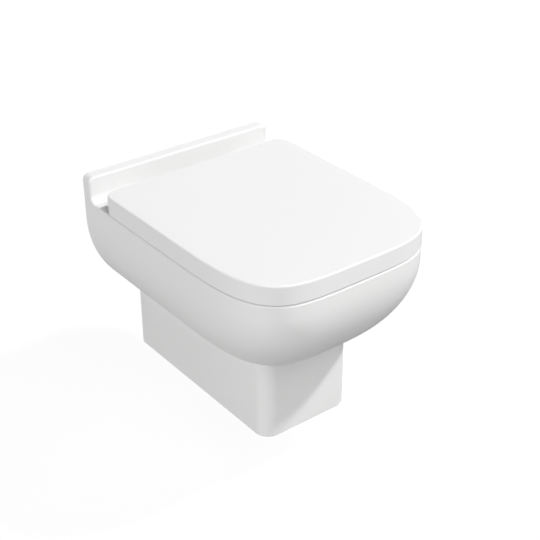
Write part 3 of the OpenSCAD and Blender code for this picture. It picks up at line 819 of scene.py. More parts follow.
    def fixing_tools(self) -> tuple[list[Piece], list[Piece]]:
        """Tubes and holes of the wall studs, and holes of the seat posts.

        Returns:
            Forms to join and forms to cut out.
        """
        joined, cut = [], []
        below, through = self.rim_z - self.deck - PAST, self.deck + 2 * PAST
        for side in (-1, 1):
            x = side * self.stud_pitch / 2
            hole = (side * self.seat_pitch / 2, self.seat_y, below)
            joined.append(rod((x, PAST - self.flange_t, 0), Axis.Y, self.stud_r,
                              -self.stud_len))
            cut.append(rod((x, PAST, 0), Axis.Y, self.stud_bore_r, -self.stud_bore_len))
            cut.append(rod(hole, Axis.Z, self.seat_hole_r, through))
        return joined, cut

    def build(self) -> Piece:
        """Makes the whole casting.

        Returns:
            The casting as one object.
        """
        pan = self.outside()
        heights = (self.foot_low + self.wall, self.flange_low)
        room = [self.foot_ring(self.wall, z, -PAST) for z in heights]
        work_on(pan, Joinery.ADD, self.foot())
        work_on(pan, Joinery.CUT, self.hollow(), stack(room, "foot room"))
        joined, cut = self.fixing_tools()
        bore, end = self.inlet_bore / 2, -self.inlet_depth
        horn, out_bore = bore + self.inlet_wall, self.outlet_r - self.outlet_wall
        basin = self.basin_rings(self.basin_t, self.basin_rows)
        joined += [rod((0, -PAST, self.inlet_z), Axis.Y, horn, end - self.inlet_wall),
                   self.duct(self.duct_wall, (end + 2 * PAST, horn - PAST),
                             -self.bowl_back - self.basin_t),
                   stack(basin + [basin[-1] + (0, 0, 2 * PAST)], "basin"),
                   stack(self.trap_rings(True), "trapway"),
                   rod((0, -self.outlet_gap, self.outlet_z), Axis.Y, self.outlet_r,
                       self.outlet_gap - self.outlet_len)]
        cut += [self.bowl_inside(),
                rod((0, PAST, self.inlet_z), Axis.Y, bore, end - PAST),
                self.duct(0, (end + PAST / 2, bore - self.duct_ease),
                          -self.bowl_back - self.duct_reach),
                stack(self.trap_rings(False), "trap bore"),
                rod((0, PAST, self.outlet_z), Axis.Y, out_bore, -self.outlet_len)]
        work_on(pan, Joinery.ADD, *joined)
        work_on(pan, Joinery.CUT, *cut)
        smooth_surface(pan)
        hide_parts("pan_shell", "pan_back", "pan_basin", "pan_basin_back", "pan_basin_low",
                    "pan_trapway", "pan_inlet", "pan_pedestal")
        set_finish(pan, "pan")
        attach(pan, "pan")
        return pan


@dataclass(frozen=True)
class Lugs:
    """Round lugs of the seat or the lid on the hinge axis: one damped, one plain."""

    axis_y: float = -73.0
    axis_z: float = 97.0
    radius: float = 10.6
    damper_x: float = 15.7
    damper_w: float = 44.0
    damper_cap: float = 2.0
    damper_r: float = 8.2
    plain_x: float = 95.3
    plain_w: float = 22.0
    plain_r: float = 5.6

    def bar(self, side: int, x: float, width: float, radius: float) -> Piece:
        """Round bar along the hinge axis on one side."""
        return rod((side * x, self.axis_y, self.axis_z), Axis.X, radius, side * width)

    def bars(self, damped: int) -> tuple[Piece, ...]:
        """Both lugs as round bars, of which the damped one is on the given side."""
        return (self.bar(damped, self.damper_x, self.damper_w, self.radius),
                self.bar(-damped, self.plain_x, self.plain_w, self.radius))

    def bores(self, damped: int) -> tuple[Piece, ...]:
        """Bores of both lugs, of which the damped one is on the given side."""
        return (self.bar(damped, self.damper_x + self.damper_cap, self.damper_w, self.damper_r),
                self.bar(-damped, self.plain_x - PAST, self.plain_w + 2 * PAST, self.plain_r))


@dataclass
class Seat:
    """The seat: a ring with a rounded outer edge and a crown that falls away to its hole."""

    outline: Outline = Outline()
    lugs: Lugs = Lugs()
    margin: float = 6.0
    low: float = 84.6
    high: float = 104.0
    back: float = 98.0
    corner: float = 6.0
    edge: float = 5.0
    bevel: float = 1.5
    hole_front: float = 419.0
    hole_back: float = 152.0
    hole_half: float = 106.0
    hole_power: float = 2.5
    hole_foot: Pairs = ((-1.0, 2.0), (1.0, 0.7), (3.0, 0.0))
    hole_crown: Pairs = (
        (8.0, 0.0), (4.0, 1.5), (1.5, 5.0), (0.3, 9.5), (0.0, 12.5))
    hole_flare: float = 22.0
    web_rise: float = 4.6
    web_run: float = 4.0
    web_lap: float = 6.0
    corner_steps: int = 6
    edge_steps: int = 8
    bevel_steps: int = 4
    hole_rows: int = 30

    def ring(self, z: float, margin: float) -> Ring:
        """Outline of the seat at a height, set in by a margin."""
        half, depth = self.outline.width / 2 - self.margin, self.outline.depth - self.margin
        return level(self.outline.loop(half - margin, depth - margin, self.back + margin,
                                       self.corner, self.corner_steps), z)

    def lug_web(self, x: float, width: float) -> Piece:
        """Web that carries a lug from the seat.

        Args:
            x: where it starts.
            width: how wide it is.

        Returns:
            The web as a closed form.
        """
        y, z, into = self.lugs.axis_y, self.lugs.axis_z, -self.back - self.web_lap
        low, high = self.low + self.bevel, self.high - self.bevel
        side = [(y + PAST, z + self.web_rise), (y - self.web_run, high), (into, high), (into, low),
                (y - self.web_run, z - self.lugs.radius + PAST)]
        return stack([np.array([(at, *p) for p in side]) for at in (x, x + width)], "web")

    def hole(self) -> Piece:
        """Room inside the seat ring, let out round its lower and upper edges.

        Returns:
            The room as a closed form.
        """
        h = self.high - self.low
        profile = np.array([*self.hole_foot, *((h - drop, grow) for drop, grow in self.hole_crown)])
        args = (self.hole_front, self.hole_back, self.hole_half, self.hole_power)
        rows = easing(np.linspace(0, 1, len(profile)), profile, np.linspace(0, 1, self.hole_rows))
        rings = [oval(*args, self.low + rise, grow) for rise, grow in rows]
        return stack(rings + [oval(*args, self.high + PAST, self.hole_flare)], "hole")

    def build(self) -> Piece:
        """Makes the seat ring with its lugs and bores.

        Returns:
            The seat as one object.
        """
        lug = self.lugs
        rings = [self.ring(self.low + rise, margin)
                 for margin, rise in rounding(self.bevel, self.bevel_steps)]
        rings += [self.ring(self.high - drop, margin)
                  for drop, margin in rounding(self.edge, self.edge_steps)]
        seat = stack(rings, "seat_ring_dressed")
        work_on(seat, Joinery.ADD, *lug.bars(-1),
                self.lug_web(-lug.damper_x - lug.damper_w, lug.damper_w),
                self.lug_web(lug.plain_x, lug.plain_w))
        work_on(seat, Joinery.CUT, self.hole(), *lug.bores(-1))
        smooth_surface(seat)
        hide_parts("seat_ring")
        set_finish(seat, "seat")
        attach(seat, "seat")
        return seat


@dataclass
class Lid:
    """The lid: flat top with a skirt that wraps the seat and a rounded heel at the back."""

    outline: Outline = Outline()
    lugs: Lugs = Lugs()
    over: float = 0.5
    low: float = 81.8
    high: float = 114.0
    top_t: float = 5.0
    skirt_t: float = 4.0
    edge: float = 3.0
    hem: Pairs = ((0.0, 0.8), (0.1, 0.45), (0.4, 0.1), (0.8, 0.0))
    levels: tuple[float, ...] = (
        83.3, 84.0, 84.8, 85.6, 86.4, 87.2, 88.0, 88.7, 89.3, 94.0, 100.0, 106.0)
    inner: float = 3.0
    back: float = 61.7
    corner: float = 22.0
    corner_least: float = 3.0
    heel: float = 13.7
    hinge_zone: float = 122.0
    zone_drop: float = 4.0
    zone_depth: float = 30.0
    web_in: float = 3.0
    web_rise: float = 4.0
    corner_steps: int = 14
    edge_steps: int = 8
    inner_steps: int = 5

    def ring(self, z: float, margin: float, heel: bool = False) -> Ring:
        """Outline of the lid at a height.

        Args:
            z: height.
            margin: how far it is set in.
            heel: True to pull its back in to the heel round the hinge axis.

        Returns:
            The ring.
        """
        o = self.outline
        corner = max(self.corner_least, self.corner - margin)
        half = o.width / 2 + self.over - margin
        plan = o.loop(half, o.depth - margin, self.back + margin, corner, self.corner_steps)
        if heel and z < self.lugs.axis_z:
            drop = min(self.heel, self.lugs.axis_z - z)
            limit = self.lugs.axis_y + math.sqrt(self.heel**2 - drop**2)
            plan[:, 1] = np.minimum(plan[:, 1], limit)
        return level(plan, z)

    def lug_web(self, x: float, width: float) -> Piece:
        """Block that carries a lug from the lid's top.

        Args:
            x: where it starts.
            width: how wide it is.

        Returns:
            The block.
        """
        lug = self.lugs
        low = (x, lug.axis_y - lug.radius + self.web_in, lug.axis_z + self.web_rise)
        return block(low, (x + width, lug.axis_y + lug.radius - self.web_in, self.high - PAST))

    def build(self) -> Piece:
        """Makes the lid with its lugs and bores.

        Returns:
            The lid as one object.
        """
        lug, ceiling = self.lugs, self.high - self.top_t
        rings = [self.ring(self.low + rise, margin, heel=True) for rise, margin in self.hem]
        rings += [self.ring(z, 0, heel=True) for z in self.levels]
        rings += [self.ring(self.high - drop, margin)
                  for drop, margin in rounding(self.edge, self.edge_steps)]
        room = [self.ring(self.low - PAST, self.skirt_t)]
        room += [self.ring(ceiling - drop, self.skirt_t + margin)
                 for drop, margin in rounding(self.inner, self.inner_steps)]
        zone = block((-self.hinge_zone, lug.axis_y, self.low - self.zone_drop),
                     (self.hinge_zone, lug.axis_y + self.zone_depth, ceiling))
        lid = stack(rings, "lid_dressed")
        work_on(lid, Joinery.CUT, stack(room, "lid room"), zone)
        work_on(lid, Joinery.ADD, self.lug_web(lug.damper_x, lug.damper_w),
                self.lug_web(-lug.plain_x - lug.plain_w, lug.plain_w), *lug.bars(1))
        work_on(lid, Joinery.CUT, *lug.bores(1))
        smooth_surface(lid)
        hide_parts("lid_shell")
        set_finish(lid, "seat")
        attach(lid, "lid")
        return lid


@dataclass
class Buffers:
    """One set of four soft pads, under the seat or inside the lid."""

    name: str
    node: str
    body: str
    low: float
    high: float
    width: float
    length: float
    spots: Pairs = ((148.0, 170.0), (118.0, 420.0))
    edge: float = 1.2
    edge_steps: int = 5
    sides: int = 48

    def pad(self, x: float, y: float) -> Piece:
        """One pad with round ends and a rounded free edge.

        Args:
            x: its middle along X.
            y: its middle along Y.

        Returns:
            The pad as a closed form.
        """
        half, reach = self.width / 2, (self.length - self.width) / 2
        turn = circle(self.sides)
        c, s = np.cos(turn), np.sin(turn)
        rings = []
        for drop, margin in [(self.high - self.low, 0.0)] + rounding(self.edge, self.edge_steps):
            r = half - margin
            rings.append(columns(x + r * c, y + reach * np.sign(s + NUDGE) + r * s,
                                 self.low + drop))
        return stack(rings, "pad")

    def build(self) -> Piece:
        """Makes the four pads.

        Returns:
            The pads as one object.
        """
        first, *others = [self.pad(side * x, -y) for side in (-1, 1) for x, y in self.spots]
        first.name = self.name
        work_on(first, Joinery.ADD, *others)
        smooth_surface(first)
        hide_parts(self.node)
        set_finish(first, "buffer")
        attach(first, self.body)
        return first


def inset(loop: np.ndarray, amount: float) -> np.ndarray:
    """Sets a closed loop of plan points in by an amount, with its corners kept.

    Args:
        loop: points, anticlockwise.
        amount: how far.

    Returns:
        The new loop.
    """
    before = loop - np.roll(loop, 1, axis=0)
    after = np.roll(loop, -1, axis=0) - loop
    before /= np.linalg.norm(before, axis=1)[:, None]
    after /= np.linalg.norm(after, axis=1)[:, None]
    n1 = columns(-before[:, 1], before[:, 0])
    n2 = columns(-after[:, 1], after[:, 0])
    mid = n1 + n2
    return loop + mid * (amount * 2 / np.maximum((mid**2).sum(axis=1), 0.5))[:, None]


@dataclass
class Housing:
    """One hinge housing: round at the axis, with a flat nose that carries the release button."""

    side: Side = Side.RIGHT
    lugs: Lugs = Lugs()
    pitch: float = 155.0
    width: float = 34.0
    low: float = 83.1
    back: float = -63.4
    nose: float = -96.0
    nose_top: float = 105.5
    nose_r: float = 3.0
    turn_end: float = 112.0
    blend: tuple[float, float] = (8.0, 0.05)
    fall: float = 0.01
    edge: float = 1.4
    post_r: float = 7.06
    post_top: float = 101.9
    button_y: float = -88.2
    button_floor: float = 89.0
    button_r: float = 4.65
    button_len: float = 30.0
    pin_r: float = 4.0
    pin_depth: float = 7.0
    turn_steps: int = 20
    nose_steps: int = 6
    edge_steps: int = 5
    crisp: float = 32.0

    def profile(self) -> np.ndarray:
        """Side view of the housing.

        Returns:
            Points in Y and Z, anticlockwise.
        """
        y, z, r = self.lugs.axis_y, self.lugs.axis_z, self.lugs.radius
        start = math.degrees(math.acos((self.back - y) / r))
        turn = arc(start, self.turn_end, self.turn_steps)
        rise = arc(0, 90, self.nose_steps)
        nose = columns(self.nose + self.nose_r - self.nose_r * np.sin(rise),
                       self.nose_top - self.nose_r + self.nose_r * np.cos(rise))
        low = np.array([(self.nose, self.low + self.fall), (self.back, self.low)])
        top = columns(y + r * np.cos(turn), z + r * np.sin(turn))
        blend = np.array([(y - self.blend[0], self.nose_top + self.blend[1])])
        return np.concatenate([low, top, blend, nose])

    def build(self) -> Piece:
        """Makes the housing with its bores.

        Returns:
            The housing as one object.
        """
        name, x = self.side.name.lower(), self.side.value * self.pitch / 2
        loop, half, lug = self.profile(), self.width / 2, self.lugs
        edge = rounding(self.edge, self.edge_steps)
        rings = []
        for sign, steps in ((-1, edge[::-1]), (1, edge)):
            for drop, margin in steps:
                plan = inset(loop, margin) if margin > 0 else loop
                rings.append(columns(x + sign * (half - drop), *plan.T))
        housing = stack(rings, f"housing_{name}_dressed")
        tools = [rod((x, lug.axis_y, self.low - PAST), Axis.Z, self.post_r,
                     self.post_top - self.low + PAST),
                 rod((x, self.button_y, self.button_floor), Axis.Z, self.button_r, self.button_len)]
        for sign in (-1, 1):
            inner = (x + sign * (half - self.pin_depth), lug.axis_y, lug.axis_z)
            tools.append(rod(inner, Axis.X, self.pin_r, sign * (self.pin_depth + PAST)))
        work_on(housing, Joinery.CUT, *tools)
        smooth_surface(housing, self.crisp)
        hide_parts(f"housing_{name}")
        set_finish(housing, "housing")
        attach(housing, "carrier")
        return housing


@dataclass
class Spring:
    """Coil spring under a release button."""

    side: Side = Side.RIGHT
    pitch: float = 155.0
    y: float = -88.2
    floor: float = 89.0
    height: float = 9.0
    play: float = 0.05
    wire: float = 0.8
    radius: float = 2.8
    turns: int = 4
    stroke: float = 2.5
    steps: int = 40
    sides: int = 12
    crisp: float = 40.0

    def build(self) -> Piece:
        """Winds the spring.

        Returns:
            The spring as one object.
        """
        name, x = self.side.name.lower(), self.side.value * self.pitch / 2
        half, section = self.wire / 2, circle(self.sides)
        along = np.linspace(0, 1, self.turns * self.steps + 1)[:, None]
        around = 2 * math.pi * self.turns * along
        reach = self.radius + half * np.cos(section)
        low = self.floor + self.play + half
        rise = low + (self.height - 2 * self.play - self.wire) * along + half * np.sin(section)
        rows = columns(x + reach * np.cos(around), self.y + reach * np.sin(around), rise)
        coil = stack(list(rows), f"spring_{name}_coil")
        smooth_surface(coil, self.crisp)
        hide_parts(f"spring_{name}")
        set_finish(coil, "steel")
        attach(coil, "carrier")
        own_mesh(coil)
        return coil


def group(name: str, output: str, kind: str, **inputs: float | tuple[float, ...] | None
          ) -> tuple[Tree, bpy.types.bpy_prop_collection, Node]:
    """Starts a shared shader group.

    Args:
        name: name of the group.
        output: name of its one output.
        kind: type of the output's socket.
        inputs: value of each input: a number, a colour, or None for a vector that is always given.

    Returns:
        The group, the sockets that give its inputs, and its output node.
    """
    tree = bpy.data.node_groups.new(name, "ShaderNodeTree")
    for label, value in inputs.items():
        sort = "NodeSocketColor" if isinstance(value, tuple) else "NodeSocketFloat"
        socket = tree.interface.new_socket(
            name=label.replace("_", " "), in_out="INPUT",
            socket_type="NodeSocketVector" if value is None else sort)
        if value is not None:
            socket.default_value = value
    tree.interface.new_socket(name=output, in_out="OUTPUT", socket_type=kind)
    return tree, tree.nodes.new("NodeGroupInput").outputs, tree.nodes.new("NodeGroupOutput")


def feed(node: Node, given: dict[str | int, object]) -> Node:
    """Feeds a node's inputs.

    Args:
        node: the node.
        given: a socket to link or a value to set for each input.

    Returns:
        The node.
    """
    for label, value in given.items():
        if isinstance(value, Socket):
            node.id_data.links.new(value, node.inputs[label])
        else:
            node.inputs[label].default_value = value
    return node


def add(tree: Tree, kind: str, given: dict[str | int, object] | None = None) -> Node:
    """Adds a shader node, with a socket or a value for each input that isn't left alone."""
    return feed(tree.nodes.new(kind), given or {})


def maths(tree: Tree, what: str, *values: object) -> Socket:
    """Adds a math node.

    Args:
        tree: the tree that it joins.
        what: its operation.
        values: sockets or numbers for its inputs.

    Returns:
        Its output.
    """
    node = add(tree, "ShaderNodeMath", dict(enumerate(values)))
    node.operation = what
    return node.outputs[0]


def blend(tree: Tree, share: Socket, first: object, second: object) -> Socket:
    """Adds a mix of two colours.

    Args:
        tree: the tree that it joins.
        share: share of the second colour.
        first: socket or value of the first colour.
        second: socket or value of the second colour.

    Returns:
        Its output.
    """
    node = add(tree, "ShaderNodeMix")
    node.data_type = "RGBA"
    return feed(node, {"Factor": share, "A": first, "B": second}).outputs["Result"]


class Effects:
    """Shader groups that several finishes share."""

    DRIFT_SPAN = (0.32, 0.68)
    DRIFT_DETAIL = 3.0
    WAVE_DETAIL, GRAIN_DETAIL = 1.0, 2.0
    STROKE_SPAN = (0.3, 0.7)
    STROKE_DETAIL, STROKE_ROUGH = 4.0, 0.6

    def __init__(self) -> None:
        """Builds each group once."""
        self.drift = self.build_drift()
        self.ripple = self.build_ripple()
        self.specks = self.build_specks()
        self.strokes = self.build_strokes()

    def noise(self, tree: Tree, place: Socket, scale: object,
              detail: float, rough: float = 0.5) -> Socket:
        """Adds a noise texture and gives its grey output."""
        given = {"Vector": place, "Scale": scale, "Detail": detail, "Roughness": rough}
        return add(tree, "ShaderNodeTexNoise", given).outputs["Fac"]

    def build_drift(self) -> Tree:
        """Slow change between two close tones.

        Returns:
            The group.
        """
        tree, ask, out = group("slow tone drift", "Colour", "NodeSocketColor", Place=None,
                               Scale=9.0, Light=WHITE, Deep=(0.9, 0.9, 0.9, 1.0))
        span = add(tree, "ShaderNodeMapRange", {
            "Value": self.noise(tree, ask["Place"], ask["Scale"], self.DRIFT_DETAIL),
            "From Min": self.DRIFT_SPAN[0], "From Max": self.DRIFT_SPAN[1]})
        feed(out, {"Colour": blend(tree, span.outputs["Result"], ask["Light"], ask["Deep"])})
        return tree

    def build_ripple(self) -> Tree:
        """Height of a softly uneven surface: broad waves with a fine grain on them.

        Returns:
            The group.
        """
        tree, ask, out = group("soft ripple", "Height", "NodeSocketFloat", Place=None,
                               Wave_scale=30.0, Grain_scale=400.0, Grain_share=0.1)
        wave = self.noise(tree, ask["Place"], ask["Wave scale"], self.WAVE_DETAIL)
        grain = self.noise(tree, ask["Place"], ask["Grain scale"], self.GRAIN_DETAIL)
        fine = maths(tree, "MULTIPLY", grain, ask["Grain share"])
        feed(out, {"Height": maths(tree, "ADD", wave, fine)})
        return tree

    def build_specks(self) -> Tree:
        """Mask of scattered small spots, such as pinholes in a glaze or dust.

        Returns:
            The group.
        """
        tree, ask, out = group("scattered specks", "Mask", "NodeSocketFloat", Place=None,
                               Scale=120.0, Size=0.06, Share=0.3)
        given = {"Vector": ask["Place"], "Scale": ask["Scale"]}
        cells = add(tree, "ShaderNodeTexVoronoi", given).outputs
        parts = add(tree, "ShaderNodeSeparateColor", {"Color": cells["Color"]}).outputs
        chosen = maths(tree, "LESS_THAN", parts["Red"], ask["Share"])
        size = maths(tree, "MULTIPLY", ask["Size"], parts["Green"])
        near = maths(tree, "LESS_THAN", cells["Distance"], size)
        feed(out, {"Mask": maths(tree, "MULTIPLY", chosen, near)})
        return tree

    def build_strokes(self) -> Tree:
        """Value of fine strokes that run one way, as on brushed metal or wiped plastic.

        Returns:
            The group.
        """
        tree, ask, out = group("fine strokes", "Value", "NodeSocketFloat", Place=None,
                               Stretch=None, Low=0.2, High=0.4)
        scaled = add(tree, "ShaderNodeVectorMath", {0: ask["Place"], 1: ask["Stretch"]})
        scaled.operation = "MULTIPLY"
        fac = self.noise(tree, scaled.outputs["Vector"], 1.0, self.STROKE_DETAIL, self.STROKE_ROUGH)
        span = add(tree, "ShaderNodeMapRange", {
            "Value": fac, "From Min": self.STROKE_SPAN[0], "From Max": self.STROKE_SPAN[1],
            "To Min": ask["Low"], "To Max": ask["High"]})
        feed(out, {"Value": span.outputs["Result"]})
        return tree


@dataclass(frozen=True)
class Finish:
    """One surface finish, with the strength of each effect on it."""

    name: str
    light: Colour
    deep: Colour
    rough: tuple[float, float]
    grain_scale: float
    drift_scale: float = 60.0
    stroke: tuple[float, float, float] = (150.0, 150.0, 150.0)
    wave_scale: float = 60.0
    grain_share: float = 0.6
    bump: float = 0.2
    bump_depth: float = 0.0003
    speck_scale: float = 200.0
    speck_size: float = 0.03
    speck_share: float = 0.1
    speck_colour: Colour = (0.5, 0.48, 0.45)
    metallic: float = 0.0
    specular: float = 0.5

    def material(self, effects: Effects) -> bpy.types.Material:
        """Makes the finish's material.

        Args:
            effects: the shared groups.

        Returns:
            The material.
        """
        made = bpy.data.materials.new(self.name)
        made.use_nodes = True
        tree = made.node_tree
        place = add(tree, "ShaderNodeTexCoord").outputs["Object"]

        def put(source: Tree, **values: object) -> Socket:
            """Places a shared group.

            Args:
                source: the group.
                values: its values, by the names of its inputs.

            Returns:
                Its output.
            """
            given = {label.replace("_", " "): value for label, value in values.items()}
            node = add(tree, "ShaderNodeGroup")
            node.node_tree = source
            return feed(node, {"Place": place} | given).outputs[0]

        tone = put(effects.drift, Scale=self.drift_scale, Light=(*self.light, 1),
                   Deep=(*self.deep, 1))
        spots = put(effects.specks, Scale=self.speck_scale, Size=self.speck_size,
                    Share=self.speck_share)
        strokes = put(effects.strokes, Stretch=self.stroke, Low=self.rough[0], High=self.rough[1])
        waves = put(effects.ripple, Wave_scale=self.wave_scale, Grain_scale=self.grain_scale,
                    Grain_share=self.grain_share)
        bump = add(tree, "ShaderNodeBump", {
            "Strength": self.bump, "Distance": self.bump_depth,
            "Height": maths(tree, "SUBTRACT", waves, spots)})
        feed(tree.nodes["Principled BSDF"], {
            "Base Color": blend(tree, spots, tone, (*self.speck_colour, 1)), "Roughness": strokes,
            "Normal": bump.outputs["Normal"], "Metallic": self.metallic,
            "Specular IOR Level": self.specular})
        return made


class Finishes(Enum):
    """The finishes of the toilet, each with the name of the record's slot that it dresses."""

    PAN = Finish("glazed_white", (0.91, 0.91, 0.907), (0.9, 0.9, 0.895), rough=(0.3, 0.36),
                 grain_scale=260.0, drift_scale=6.0, stroke=(40.0, 40.0, 40.0), wave_scale=22.0,
                 grain_share=0.12, bump=0.12, bump_depth=0.0006, speck_scale=60.0, speck_size=0.02,
                 speck_share=0.12, speck_colour=(0.62, 0.6, 0.56), specular=0.06)
    SEAT = Finish("moulded_white", (0.905, 0.905, 0.905), (0.897, 0.897, 0.898), rough=(0.32, 0.38),
                  grain_scale=900.0, drift_scale=4.0, stroke=(300.0, 18.0, 300.0), wave_scale=12.0,
                  grain_share=0.2, bump=0.04, speck_scale=90.0, speck_size=0.015,
                  speck_colour=(0.7, 0.69, 0.67), specular=0.06)
    HOUSING = Finish("satin_white", (0.82, 0.82, 0.82), (0.79, 0.79, 0.795), rough=(0.28, 0.36),
                     grain_scale=1500.0, drift_scale=40.0, stroke=(200.0, 200.0, 200.0), bump=0.15,
                     bump_depth=0.0002)
    BUTTON = Finish("satin_grey", (0.42, 0.43, 0.44), (0.38, 0.39, 0.4), rough=(0.32, 0.42),
                    grain_scale=2200.0, stroke=(300.0, 300.0, 300.0), wave_scale=80.0,
                    grain_share=0.8, bump_depth=0.0002, speck_scale=300.0)
    BUFFER = Finish("soft_pad", (0.7, 0.7, 0.69), (0.62, 0.62, 0.6), rough=(0.42, 0.55),
                    grain_scale=1200.0, drift_scale=50.0, wave_scale=40.0, grain_share=0.5,
                    speck_size=0.04, speck_share=0.2)
    DAMPER = Finish("dark_plastic", (0.03, 0.03, 0.032), (0.02, 0.02, 0.022), rough=(0.3, 0.45),
                    grain_scale=1800.0, stroke=(200.0, 900.0, 900.0), wave_scale=90.0,
                    bump_depth=0.0002, speck_scale=300.0, speck_colour=(0.1, 0.1, 0.1))
    SLEEVE = Finish("natural_plastic", (0.6, 0.59, 0.56), (0.54, 0.53, 0.49), rough=(0.38, 0.5),
                    grain_scale=1400.0, drift_scale=40.0, wave_scale=50.0, speck_share=0.2)
    RUBBER = Finish("black_rubber", (0.02, 0.02, 0.02), (0.012, 0.012, 0.012), rough=(0.55, 0.75),
                    grain_scale=1600.0, grain_share=1.0, bump=0.35, speck_size=0.05,
                    speck_share=0.3, speck_colour=(0.08, 0.08, 0.075))
    STEEL = Finish("brushed_steel", (0.62, 0.62, 0.61), (0.54, 0.54, 0.54), rough=(0.22, 0.38),
                   grain_scale=2500.0, drift_scale=80.0, stroke=(1800.0, 60.0, 1800.0),
                   grain_share=0.8, bump=0.12, bump_depth=0.0001, speck_scale=300.0,
                   speck_size=0.02, speck_colour=(0.3, 0.3, 0.3), metallic=1.0)


class Dresser:
    """Gives every shown piece its finish."""

    def __init__(self) -> None:
        """Makes one material for each slot."""
        effects = Effects()
        self.materials = {slot.name.lower(): slot.value.material(effects) for slot in Finishes}
        self.slots = {row["node"]: row["material_slot"] for row in frame["record"]["subparts"]}

    def dress(self) -> None:
        """Puts the materials on the pieces and the carried-over nodes."""
        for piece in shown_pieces():
            name = piece.get("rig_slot") or self.slots.get(piece.get("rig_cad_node", ""))
            material = self.materials[name]
            if not piece.data.materials:
                piece.data.materials.append(material)
            for place in piece.material_slots:
                place.link = "OBJECT"
                place.material = material
            log.info("%s has %s", piece.name, material.name)


@dataclass(frozen=True)
class Lamp:
    """A soft round lamp that looks at the middle of the toilet."""

    name: str
    azimuth: float
    elevation: float
    size: float
    power: float
    distance: float = 6.0

    def build(self, centre: Point) -> Piece:
        """Makes the lamp.

        Args:
            centre: what it looks at, in metres.

        Returns:
            The lamp.
        """
        data = bpy.data.lights.new(self.name, "AREA")
        data.shape = "DISK"
        data.size = self.size
        data.energy = self.power
        made = show(self.name, data)
        a, e = math.radians(self.azimuth), math.radians(self.elevation)
        back = np.array([math.sin(a) * math.cos(e), -math.cos(a) * math.cos(e), math.sin(e)])
        made.location = np.array(centre) + back * self.distance
        made.rotation_euler = (math.pi / 2 - e, 0, a)
        return made


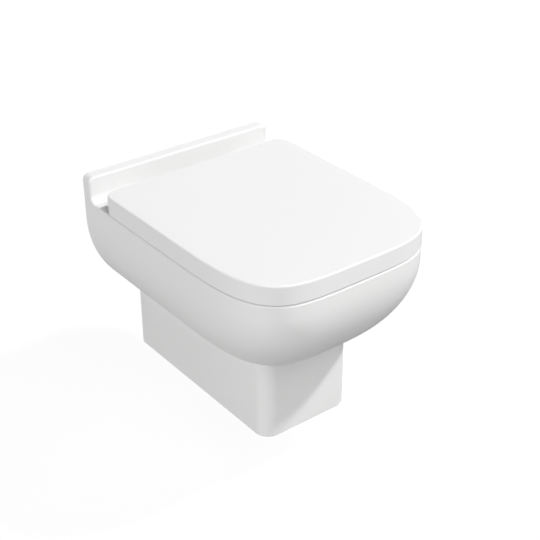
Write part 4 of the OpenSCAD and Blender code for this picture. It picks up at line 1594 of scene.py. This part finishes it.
@dataclass
class Studio:
    """Floor, plain light and the camera at the photograph's angle, with its sizes in metres."""

    centre: Point = (0.0, -0.24, -0.06)
    floor_z: float = -0.33
    floor_half: float = 9.0
    fade: tuple[float, float] = (1.0, 2.2)
    world: float = 0.03
    floor_tone: float = 0.1
    floor_lift: float = 0.93
    floor_glow: float = 0.25
    lamps: tuple[Lamp, ...] = (
        Lamp("key_lamp", 53, 51, 0.4, 236),
        Lamp("left_lamp", -72, 4, 4.0, 160),
        Lamp("left_back_lamp", -110, 8, 4.0, 92),
        Lamp("high_lamp", -8, 42, 4.0, 142),
        Lamp("front_lamp", 42, 4, 4.0, 58),
        Lamp("right_lamp", 95, 8, 4.0, 26),
        Lamp("right_back_lamp", 140, 25, 4.0, 57),
        Lamp("back_lamp", 160, 8, 4.0, 76),
    )
    eye: Point = (-0.97804, -1.53157, 0.93449)
    turn: Point = (59.757, 0.125, -37.718)
    lens: float = 77.106
    sensor: float = 36.0

    def seen(self, tree: Tree) -> Socket:
        """Share of rays that see the background white: the camera's own."""
        return add(tree, "ShaderNodeLightPath").outputs["Is Camera Ray"]

    def sky(self) -> None:
        """Even white surroundings, plain in strength where they light the toilet."""
        world = bpy.data.worlds.new("studio")
        bpy.context.scene.world = world
        world.use_nodes = True
        tree = world.node_tree
        tree.nodes.clear()
        light = add(tree, "ShaderNodeBackground", {"Strength": self.world, "Color": WHITE})
        seen = add(tree, "ShaderNodeBackground", {"Color": WHITE})
        mix = add(tree, "ShaderNodeMixShader",
                  {"Fac": self.seen(tree), 1: light.outputs[0], 2: seen.outputs[0]})
        add(tree, "ShaderNodeOutputWorld", {"Surface": mix.outputs[0]})

    def floor_material(self) -> bpy.types.Material:
        """Pale matt material that the camera sees lifted to the white of the surroundings.

        Returns:
            The material, clear from below.
        """
        material = bpy.data.materials.new("pale_floor")
        material.use_nodes = True
        tree = material.node_tree
        tree.nodes.clear()
        matt = add(tree, "ShaderNodeBsdfDiffuse", {"Color": (self.floor_tone,) * 3 + (1,)})
        place = add(tree, "ShaderNodeTexCoord").outputs["Object"]
        reach = add(tree, "ShaderNodeVectorMath", {0: place})
        reach.operation = "LENGTH"
        far = add(tree, "ShaderNodeMapRange", {
            "Value": reach.outputs["Value"], "From Min": self.fade[0], "From Max": self.fade[1],
            "To Min": self.floor_lift - self.floor_glow, "To Max": 1.0 - self.floor_glow})
        far.interpolation_type = "SMOOTHSTEP"
        shown = maths(tree, "MULTIPLY", self.seen(tree), far.outputs["Result"])
        glow = maths(tree, "ADD", shown, self.floor_glow)
        lift = add(tree, "ShaderNodeEmission", {"Strength": glow})
        both = add(tree, "ShaderNodeAddShader", {0: matt.outputs[0], 1: lift.outputs[0]})
        mix = add(tree, "ShaderNodeMixShader", {
            "Fac": add(tree, "ShaderNodeNewGeometry").outputs["Backfacing"],
            1: both.outputs[0], 2: add(tree, "ShaderNodeBsdfTransparent").outputs[0]})
        add(tree, "ShaderNodeOutputMaterial", {"Surface": mix.outputs[0]})
        return material

    def floor(self) -> None:
        """Floor that keeps the toilet's shadow and can't be seen from below."""
        half = self.floor_half
        mesh = bpy.data.meshes.new("floor")
        corners = [(-half, -half), (half, -half), (half, half), (-half, half)]
        mesh.from_pydata([(x, y, self.floor_z) for x, y in corners], [], [(0, 1, 2, 3)])
        mesh.materials.append(self.floor_material())
        made = show("floor", mesh)
        made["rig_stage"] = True

    def camera(self) -> None:
        """Camera at the photograph's angle."""
        data = bpy.data.cameras.new("camera")
        data.lens = self.lens
        data.sensor_width = self.sensor
        made = show("camera", data)
        made.location = self.eye
        made.rotation_euler = tuple(math.radians(a) for a in self.turn)
        bpy.context.scene.camera = made

    def build(self) -> None:
        """Makes the studio."""
        bpy.context.scene.view_settings.view_transform = "Standard"
        self.sky()
        self.floor()
        for lamp in self.lamps:
            lamp.build(self.centre)
        self.camera()


def main() -> None:
    """Builds the studio and every piece, in order."""
    logging.basicConfig(level=logging.INFO, format="%(name)s: %(message)s")
    Studio().build()
    assemblies = (PanCasting(), Seat(), Lid(),
                  Buffers("seat_pads", "seat_buffers", "seat", 80.0, 84.6, 12.0, 34.0),
                  Buffers("lid_pads", "lid_buffers", "lid", 104.0, 109.0, 10.0, 26.0),
                  Housing(Side.LEFT), Housing(Side.RIGHT), Spring(Side.LEFT), Spring(Side.RIGHT))
    for assembly in assemblies:
        piece = assembly.build()
        log.info("%s: %d faces", piece.name, len(piece.data.polygons))
    Dresser().dress()


if __name__ == "__main__":
    main()
